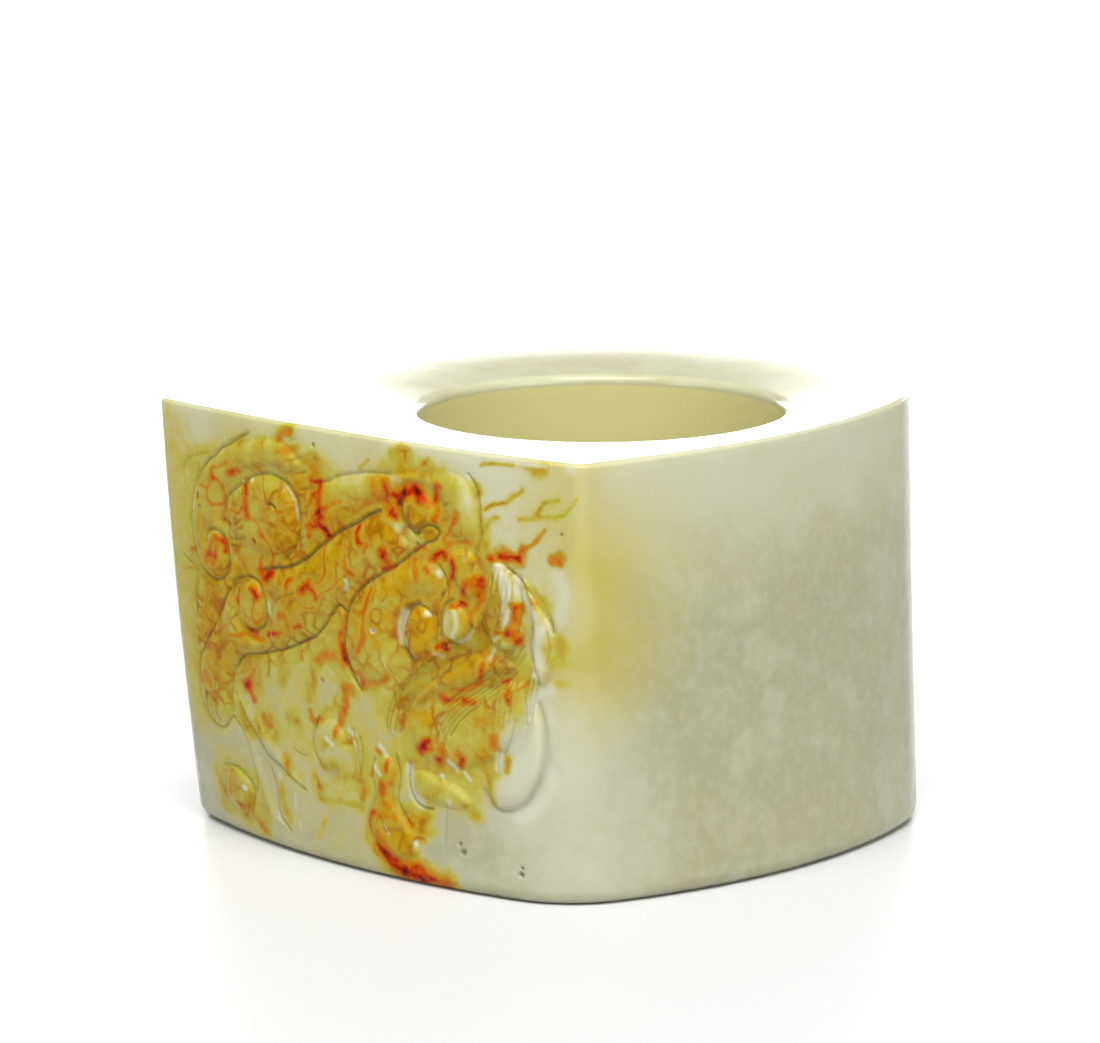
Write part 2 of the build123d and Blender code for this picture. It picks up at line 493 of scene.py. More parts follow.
FORMS: dict[str, CarvedForm] = {
    "tail_curl": CarvedForm((
        (33, 95.5), (26, 94.5), (20, 92), (15.5, 88.5), (12, 84), (10.2, 79), (9.6, 73),
        (10.3, 67.5), (12, 63), (15.3, 60.8), (18.3, 62.5), (19.4, 66.5), (18.2, 71.5),
        (17.6, 76), (18.2, 80.5), (20.5, 84), (24.5, 87.3), (30, 89.3), (36, 88.6), (38.5, 91.5),
    )),
    "haunch": CarvedForm((
        (19.6, 76), (20.2, 80.5), (23.5, 84.5), (28, 87), (33, 86.5), (36.8, 83),
        (38, 77.5), (36.8, 72), (33.5, 69), (29, 68.5), (24, 70.5), (20.6, 73),
    ), 0.9, 1.1),
    "hind_leg": CarvedForm((
        (20.8, 60), (17, 53), (13.5, 47.8), (10.8, 43), (9.9, 38), (9.4, 33), (11.3, 28.5),
        (15, 26.7), (18.2, 28.5), (18.7, 34), (20, 40), (23, 44.2), (28.5, 46.2),
        (29.5, 48.6), (26, 48.9), (22.6, 51.5), (21.3, 56),
    )),
    "knee": CarvedForm((
        (22.6, 56), (23.4, 60), (26.5, 62), (29.5, 59.5), (30, 55), (28.8, 51.5),
        (26, 50.4), (23.6, 52),
    ), 0.9, 0.5),
    "belly": CarvedForm((
        (31, 63.5), (36, 66.3), (41, 69.5), (45, 73), (50, 77), (55, 81), (60, 83.8),
        (62.5, 79.5), (65, 76.8), (61.5, 73), (57, 69.7), (52.6, 66), (49.6, 62),
        (47, 60.5), (44.8, 57), (41, 52.2), (35.5, 48.8), (31.3, 47.4), (31, 52), (31.6, 57),
    ), 0.75, 1.2),
    "neck": CarvedForm((
        (39.3, 71.3), (42, 73.4), (45.5, 76.6), (50, 80.2), (55, 84.2), (59.8, 87),
        (62.3, 90.3), (66, 91), (70, 89.8), (72.5, 86), (73, 82), (75.5, 79.5), (78.3, 80.5),
        (79, 85), (78, 91), (75, 94.3), (68, 93.8), (60, 92.6), (52, 91), (45, 88),
        (40.8, 85), (39.6, 80.5), (39.4, 75),
    ), 0.75, 1.0),
    "horn_knob": CarvedForm((
        (62.9, 84.5), (63.6, 88), (66.5, 89.3), (70, 87.3), (71, 83.5), (69.5, 80.8), (65.6, 80.4),
    ), 0.9, 0.7),
    "cheek": CarvedForm((
        (51.6, 60), (54, 64.5), (58, 68.3), (63, 71.8), (68, 74.3), (71.3, 72.5), (72, 69),
        (70, 66.3), (66, 65.6), (62.8, 61.5), (61.8, 56.5), (62.8, 51), (62, 47), (58, 44.5),
        (54, 45), (51.3, 49.5), (50.8, 55),
    ), 0.8, 1.2),
    "eye": CarvedForm((
        (64, 57.5), (65.3, 62), (68.2, 63.5), (70.2, 60.5), (70.4, 56), (69, 52.3),
        (66.5, 51.5), (64.6, 53.8),
    ), 1.2, 0.7),
    "brow": CarvedForm((
        (72.2, 60), (73.2, 64), (75.6, 65.4), (77.6, 62.8), (77.4, 59), (75.5, 57), (73.2, 57.3),
    ), 1.2, 0.5),
    "ear_tuft": CarvedForm((
        (73.2, 76), (76, 78), (79, 76.5), (80, 72), (79.4, 67.8), (76.8, 67.2), (75, 70), (73.6, 72.8),
    ), 1.0, 0.6),
    "mane_fan": CarvedForm((
        (83, 76.5), (86, 74.5), (88.2, 70), (89.4, 63), (88.6, 57.5), (85.6, 56.2),
        (82.4, 58), (80.4, 62), (81.2, 67), (81.8, 72),
    ), 1.2, 0.6),
    "mane_tongue": CarvedForm((
        (88.6, 73.6), (91.6, 70), (94, 66), (95.4, 60), (95, 53), (93.2, 49.5),
        (91.4, 54), (91.2, 61), (90.2, 68),
    ), 1.3, 0.5),
    "upper_hair": CarvedForm((
        (88.6, 53.4), (82, 54.8), (76, 53.4), (70, 48.8), (65, 45.5), (61.5, 41), (60.3, 35),
        (62.3, 33), (65, 38), (69.5, 42.6), (75, 46), (80, 48.6), (85, 51),
    ), 0.75, 0.7),
    "lower_hair": CarvedForm((
        (89.6, 49.6), (90, 44), (88.3, 37), (84, 31.5), (78, 28.5), (71, 28.5), (67, 31.5),
        (66.5, 36), (70.4, 40.6), (76, 43.8), (81.6, 46.4), (86.4, 49.4),
    ), 0.75, 0.9),
    "side_lock": CarvedForm((
        (92.2, 45.5), (94.3, 38), (94, 30), (91, 23.5), (86.5, 20.5), (83.4, 22),
        (83.3, 26.2), (86.4, 30.8), (89.4, 36), (91, 42),
    ), 1.25, 0.8),
    "cloud_knob": CarvedForm((
        (42.8, 30), (44.5, 33.3), (48, 33.8), (50.2, 31.3), (51.2, 27), (49.3, 22.3),
        (45.5, 21.5), (43, 25),
    ), 0.8, 0.8),
    "lower_plume": CarvedForm((
        (57, 25), (59.5, 28.5), (62, 27.5), (63.3, 23), (63, 17.5), (66.8, 12.4), (68, 8),
        (65, 4.8), (60.5, 6), (57.3, 9.5), (56.2, 14), (57.8, 19),
    ), 0.8, 0.8),
    "beard_lock": CarvedForm((
        (66.5, 25), (68.5, 26.6), (73, 25.4), (77, 24), (79.5, 21), (77, 19), (71.5, 19.4), (67.6, 20.6),
    ), 0.8, 0.6),
    "tail_ribbon": CarvedForm((
        (20.4, 28.6), (23.6, 25.8), (27, 21), (29.2, 15), (31, 9.6), (34.4, 6), (31, 6.4),
        (28, 10.8), (25.8, 16.5), (23.8, 21), (21, 25),
    ), 0.45, 0.5),
    "trailing_ribbon": CarvedForm((
        (21.2, 34.5), (23.2, 29.8), (28.2, 24.2), (34, 19.4), (39.5, 16.4), (36.4, 20.4),
        (31, 25.6), (25.5, 31),
    ), 0.45, 0.5),
    "low_cloud": CarvedForm((
        (15.5, 11.5), (17, 15.3), (20.5, 16.5), (23.6, 14), (24, 10), (22, 7), (18.5, 6.6), (16.2, 8.3),
    ), 0.8, 0.7),
}

STROKES: tuple[Stroke, ...] = (
    # tail curl
    Stroke(((25, 96), (22, 94), (20, 92.5), (18, 91.3), (16.5, 89.3), (15, 88.3), (13.5, 86.5), (12, 84),
            (10.8, 80.5), (10, 77), (9.5, 73.5), (9.6, 70.5), (10.3, 68), (11, 65.5), (12, 63), (13.5, 61.3),
            (15, 60.5), (16.5, 60.4), (18, 61), (19.2, 62.8), (19.8, 65.5), (19.5, 68), (18.8, 70),
            (17.8, 71.5), (16.5, 72.2), (15.2, 71.8), (14.4, 70.5), (14.3, 69)), bevel=-0.35),
    Stroke(((16, 90), (11, 88.5), (8.5, 87), (7.5, 84.5)), 0.1, 0.35),
    # haunch
    Stroke(((18.2, 74.5), (18.5, 76.5), (19, 79), (20.5, 81.3), (22.5, 83), (24, 84.3), (26, 85.8), (28, 87),
            (31, 87.6), (34, 86.8), (36, 85.5), (37.5, 83), (38.3, 80), (38.5, 76.5), (38, 73.5), (37, 71.3),
            (36, 70), (35, 68.8)), bevel=0.35),
    Stroke(((20, 74.3), (22.5, 74.5), (24.5, 76.3)), 0.095, 0.5),
    Stroke(((20.5, 70.8), (23, 71.2), (25, 72.2)), 0.095, 0.5),
    Stroke(((20.8, 69.3), (23.5, 69.5)), 0.095, 0.5),
    Stroke(((31, 80.6), (32, 81), (33, 80.2)), 0.125, 0.9),
    # body
    Stroke(((29.5, 65.3), (31, 65.8), (33, 66.5), (35, 66.8), (38, 68.3), (41, 70.5), (43, 72.7), (45, 74.5),
            (48, 77.3), (50, 78.7), (52.5, 80.2), (55, 82.3), (57.5, 83.8)), 0.13, 1.0, -0.4),
    Stroke(((21.3, 41), (22.3, 43), (24, 44.3), (26, 44.8), (29, 45.7), (32, 46.8), (35, 48), (38, 49.5),
            (40, 50.8), (42.5, 52.3), (44, 54), (45.5, 56), (46.5, 58), (47.8, 60), (48.8, 60.7),
            (50.3, 59.5)), 0.125, 0.9, -0.35),
    Stroke(((32.5, 58.3), (34, 59.3), (35.5, 60.3), (38, 61.3)), 0.095, 0.45),
    # knee
    Stroke(((20.5, 60.2), (22, 61.5), (25, 62.7), (27.5, 62.3), (28.7, 60.5), (29.5, 58.5), (30, 56),
            (30, 54), (29.3, 52), (27.5, 51), (25.5, 50.8), (24.5, 51.3), (23.7, 53), (22.8, 55),
            (22.3, 57), (22.5, 59.5)), 0.115, 0.8, 0.25),
    # hind leg and foot
    Stroke(((22, 60.7), (20, 59), (18.8, 57), (17.8, 54.5), (16.5, 51.5), (15.3, 49), (14, 46.8),
            (12.5, 44.5), (11, 42), (10, 41)), 0.12, 0.8, 0.3),
    Stroke(((6.5, 64.5), (8.5, 63), (10, 62), (10.7, 60.5), (10.5, 58.5), (10.3, 57), (10.2, 53),
            (9.7, 50)), 0.1, 0.5),
    Stroke(((9.7, 41), (9.5, 38), (9.2, 34.5), (9, 31), (9.5, 29.5), (10.5, 27.8), (12, 26.3), (13.5, 25.3),
            (15.5, 25), (17, 25.8), (18, 27.3), (18.5, 28)), 0.115, 0.7, -0.3),
    Stroke(((12.3, 33), (11.8, 30.5), (11.4, 28.3)), 0.1, 0.6),
    Stroke(((14.7, 31.3), (14.8, 29), (15, 26.5)), 0.1, 0.6),
    Stroke(((21, 41), (20, 38), (19.6, 36), (19.4, 33), (19.4, 30)), 0.11, 0.6, -0.25),
    # tail ribbons
    Stroke(((18.2, 27.7), (19.3, 28.5), (20.5, 27.8), (22, 26.3), (23.5, 24), (24.5, 22), (25, 20),
            (25.5, 17), (25.9, 15), (25.7, 13), (25, 12)), 0.115, 0.7, -0.3),
    Stroke(((21, 34), (22, 32), (23.5, 29), (25.2, 26.8), (27, 24.5), (29.3, 21.8), (31, 20.8), (33, 20),
            (35.5, 18.5), (37.5, 17.3), (40, 16)), 0.11, 0.6, -0.3),
    Stroke(((30, 19), (30.7, 17), (31.4, 15), (31.8, 12.5), (32, 10), (32.5, 8), (34, 6.5), (35.3, 5.4)),
           0.11, 0.6, 0.3),
    Stroke(((37.4, 14), (37.2, 11)), 0.1, 0.4, 0.2),
    # low cloud
    Stroke(((15, 15.8), (17.5, 16.5), (20, 16.3), (22, 15.3), (24, 13.5), (24.6, 11), (24, 8.5)),
           0.115, 0.6, 0.3),
    Stroke(((19.5, 11.5), (21.5, 12), (22.6, 10), (21.5, 7.6), (20, 8.2)), 0.1, 0.4),
    # neck and head
    Stroke(((43.5, 87.8), (45, 88.3), (47, 89.5), (49, 90.4), (52, 91.3), (55, 92), (58, 92.2), (60, 92.3)),
           0.11, 0.6, 0.3),
    Stroke(((36, 91.3), (38.7, 92.8)), 0.095, 0.5),
    Stroke(((37.5, 88.8), (40, 89.5)), 0.095, 0.5),
    Stroke(((38.5, 85.2), (42, 86.3)), 0.095, 0.5),
    Stroke(((36, 96), (37.5, 97)), 0.095, 0.4),
    Stroke(((62.5, 87.5), (62.3, 85.5), (62.5, 83.5), (63.2, 81.8), (64.5, 80.8), (66, 79.8), (67, 80.8),
            (68, 81.8), (69.5, 82.2), (70.5, 81.5), (70.8, 80.5), (70, 79), (68.5, 78.3), (67, 77),
            (65, 75.2), (63, 73.2), (61, 71.5), (59, 70), (57, 68.5), (55, 66.8), (53.5, 65.2), (52, 63),
            (51, 61), (50.4, 58.5), (50, 56), (49.8, 53), (49.8, 50), (51.5, 46), (53, 43.5), (54, 42.3)),
           0.125, 0.9, 0.35),
    Stroke(((50.5, 67.5), (51, 66), (50.5, 64.5), (49.8, 63.3)), 0.1, 0.5),
    Stroke(((77, 95), (78.3, 93), (79, 91.5), (79.4, 89), (79.7, 86), (79.8, 83.5), (80, 81), (79.2, 78),
            (78.8, 75), (78.6, 73)), 0.115, 0.7, -0.3),
    Stroke(((60.5, 49), (61.5, 47.5), (63, 46.5)), 0.09, 0.3),
    Stroke(((58.5, 50), (59.8, 48.5)), 0.09, 0.3),
    # eye and brow
    Stroke(((67, 64.2), (65, 63), (63.6, 60.5), (63.2, 57.5), (64, 54), (65.6, 51.4)), 0.26, 0.9, -0.2),
    Stroke(((65.3, 62.5), (67, 63.8), (68.5, 63.5), (70, 62)), 0.1, 0.7),
    Stroke(((70.9, 62.5), (71.1, 59), (70.7, 55.5)), 0.12, 0.7),
    Stroke(((78.3, 61), (77.6, 57.8), (76, 56.3), (73.8, 56.6)), 0.18, 0.8),
    Stroke(((72, 57.5), (71.8, 61), (72.6, 64.6), (74.4, 66.3)), 0.115, 0.7),
    Stroke(((71.8, 66.5), (73, 68.5), (72.6, 71.3), (71.2, 73.5)), 0.115, 0.6),
    # mane
    Stroke(((82.6, 75), (82.8, 70), (81.8, 65), (80.3, 61)), 0.11, 0.7),
    Stroke(((83.9, 74.5), (84.3, 69), (83.8, 65), (82.4, 60)), 0.11, 0.6),
    Stroke(((85.2, 74.5), (85.7, 69), (85.2, 64), (84, 58.5)), 0.11, 0.6),
    Stroke(((86.8, 72), (87.1, 68), (86.7, 64), (85.7, 59)), 0.11, 0.7),
    Stroke(((88.3, 71), (88.9, 66), (88.4, 61)), 0.11, 0.6),
    Stroke(((85.5, 75), (87.5, 73.5), (89.5, 71.5), (91.5, 69.2), (93.2, 66.5), (94.5, 64), (95, 62)),
           0.1, 0.8, 0.3),
    Stroke(((91, 62.5), (90.6, 58.5), (91.2, 54.8)), 0.17, 0.7, 0.25),
    Stroke(((94.2, 62), (94.8, 58), (94, 54)), 0.12, 0.6),
    # side lock
    Stroke(((92.5, 45.5), (93.5, 42), (94, 38), (94, 33), (93.3, 29), (92.3, 26), (91, 23), (89, 21),
            (86.5, 20.3), (85, 20.5), (83.5, 22), (82.3, 24)), 0.3, 0.55, 0.6),
    Stroke(((88.2, 41), (87.4, 37), (85.8, 33)), 0.11, 0.5),
    Stroke(((85.3, 34), (84.6, 31), (84.9, 28.5)), 0.11, 0.5),
    # cloud knob and its bands
    Stroke(((43.6, 33.5), (42.5, 31), (42, 28.5), (42.1, 26.5), (43, 24.3), (45, 22.3)), 0.12, 0.7, -0.25),
    Stroke(((37, 24.8), (38.8, 24), (40.5, 24)), 0.1, 0.45),
    Stroke(((52, 32.5), (52.9, 29.5), (53.2, 27), (53, 24), (52, 21)), 0.11, 0.6, 0.2),
    Stroke(((54, 31), (54.6, 28), (54.5, 25.5), (54.2, 22.5)), 0.1, 0.5),
    # lower plume and beard
    Stroke(((57.5, 27), (57, 23), (58, 19), (56.5, 14), (57.5, 9.5), (60.5, 6)), 0.115, 0.6, -0.25),
    Stroke(((62.5, 28.5), (63.6, 24), (63.2, 18.5), (66, 13.5)), 0.115, 0.6, 0.25),
    Stroke(((59.5, 14), (60.3, 12), (61.3, 11)), 0.11, 0.5),
    Stroke(((65.7, 27.5), (65.6, 23.5), (66.6, 20), (68.6, 18.2), (71, 18)), 0.18, 0.9, -0.2),
    Stroke(((74.3, 20), (74.2, 15), (73.9, 10)), 0.11, 0.35),
)

HAIR: tuple[HairBundle, ...] = (
    HairBundle(((83.3, 75), (82.2, 69), (80.4, 63), (77, 58), (72, 53.8), (67, 49.5), (63, 44.6), (60.8, 40),
                (59.8, 34.5)),
               ((87, 74), (86.6, 67), (85, 61), (81.6, 56), (76.6, 51.6), (71.4, 47.8), (67.6, 43.5),
                (65.4, 39), (64.2, 34)), 8, 0.12, 0.62),
    HairBundle(((88.8, 60), (86.4, 56), (83, 52), (79, 48.5), (75, 45), (72, 41.5), (70.4, 37), (69.8, 33)),
               ((90, 55), (87.4, 50.4), (84.6, 46.5), (81.4, 43.3), (78, 40), (75.6, 36.4), (74.6, 33)), 6,
               0.12, 0.55),
    HairBundle(((90.4, 53), (89.4, 47), (90, 40)), ((93, 51), (92, 46), (91.6, 41)), 3, 0.11, 0.5),
    HairBundle(((84.8, 50), (83.6, 46), (83.2, 41)), ((89, 51), (87.6, 46), (87.2, 38)), 4, 0.1, 0.35),
)

PITS: tuple[tuple[float, float, float], ...] = (
    # percent across, percent up, radius in millimetres
    (12, 79.5, 0.16), (12.6, 76.8, 0.14), (27.5, 71.5, 0.16), (19, 74.8, 0.14), (78, 9.5, 0.26),
    (77.3, 11.2, 0.14), (90, 6.5, 0.2), (90.2, 8, 0.12), (44.5, 42.5, 0.15), (41.5, 96, 0.16),
    (66.3, 77.5, 0.16), (96.3, 84, 0.12), (57.2, 56.3, 0.14), (72.5, 55.5, 0.26),
)

SKIN_FIELDS: tuple[SkinField, ...] = (
    SkinField(((12, 87), (18, 90), (26, 90), (31, 91), (38, 90), (44, 91), (52, 88), (58, 91), (66, 92),
               (72, 90), (76, 84), (80, 79), (84, 74), (87, 66), (87, 58), (87, 50), (82, 47), (74, 45),
               (66, 46), (60, 48), (52, 46), (44, 50), (34, 47), (26, 44), (20, 36), (19, 31), (13, 29),
               (10, 35), (10, 46), (11, 58), (10, 68), (10, 79)), 0.8, 1.8),
    SkinField(((19, 74), (20, 82), (28, 88), (38, 86), (50, 84), (60, 88), (70, 86), (70, 76), (62, 70),
               (54, 60), (50, 54), (38, 52), (30, 50), (20, 62)), 0.66, 2.2),
    SkinField(((22, 44), (34, 48), (48, 48), (60, 48), (64, 36), (62, 28), (56, 20), (48, 17), (40, 19),
               (31, 22), (25, 28)), 0.19, 2.0),
    SkinField(((60, 48), (72, 46), (84, 48), (89, 52), (90, 44), (86, 36), (84, 28), (78, 23), (68, 24),
               (62, 32)), 0.5, 1.6),
    SkinField(((59, 26), (62.6, 26), (63, 20), (64, 17), (70, 17), (70.4, 12), (67.6, 9), (68, 5.6),
               (75, 3.4), (76, 0.4), (64, 0.2), (58, 6.6), (56.6, 12), (57.4, 16), (59, 19)), 0.92, 0.7),
    SkinField(((14, 16), (20, 17), (26, 13), (28, 6), (25, 3), (20, 5), (14, 7)), 0.32, 1.2),
    SkinField(((64, 30), (72, 26), (80, 26), (82, 20), (74, 17), (66, 18)), 0.16, 1.3),
    SkinField(((17, 92), (22, 95), (30, 96), (38, 97), (41, 93), (36, 88), (24, 88)), 0.24, 1.3),
    SkinField(((58, 92), (62, 96), (72, 95), (77, 92), (70, 88), (60, 88)), 0.3, 1.3),
    SkinField(((80, 80), (82, 90), (90, 95), (97, 90), (98, 76), (97, 62), (96, 50), (91, 50), (90, 66),
               (86, 78)), 0.11, 1.5),
    SkinField(((1, 97), (8, 97), (13, 88), (12, 60), (11, 30), (7, 24), (3, 40), (1, 60)), 0.2, 1.6),
    SkinField(((8, 26), (18, 28), (30, 20), (56, 20), (57, 3), (30, 4), (12, 5)), 0.12, 1.6),
)

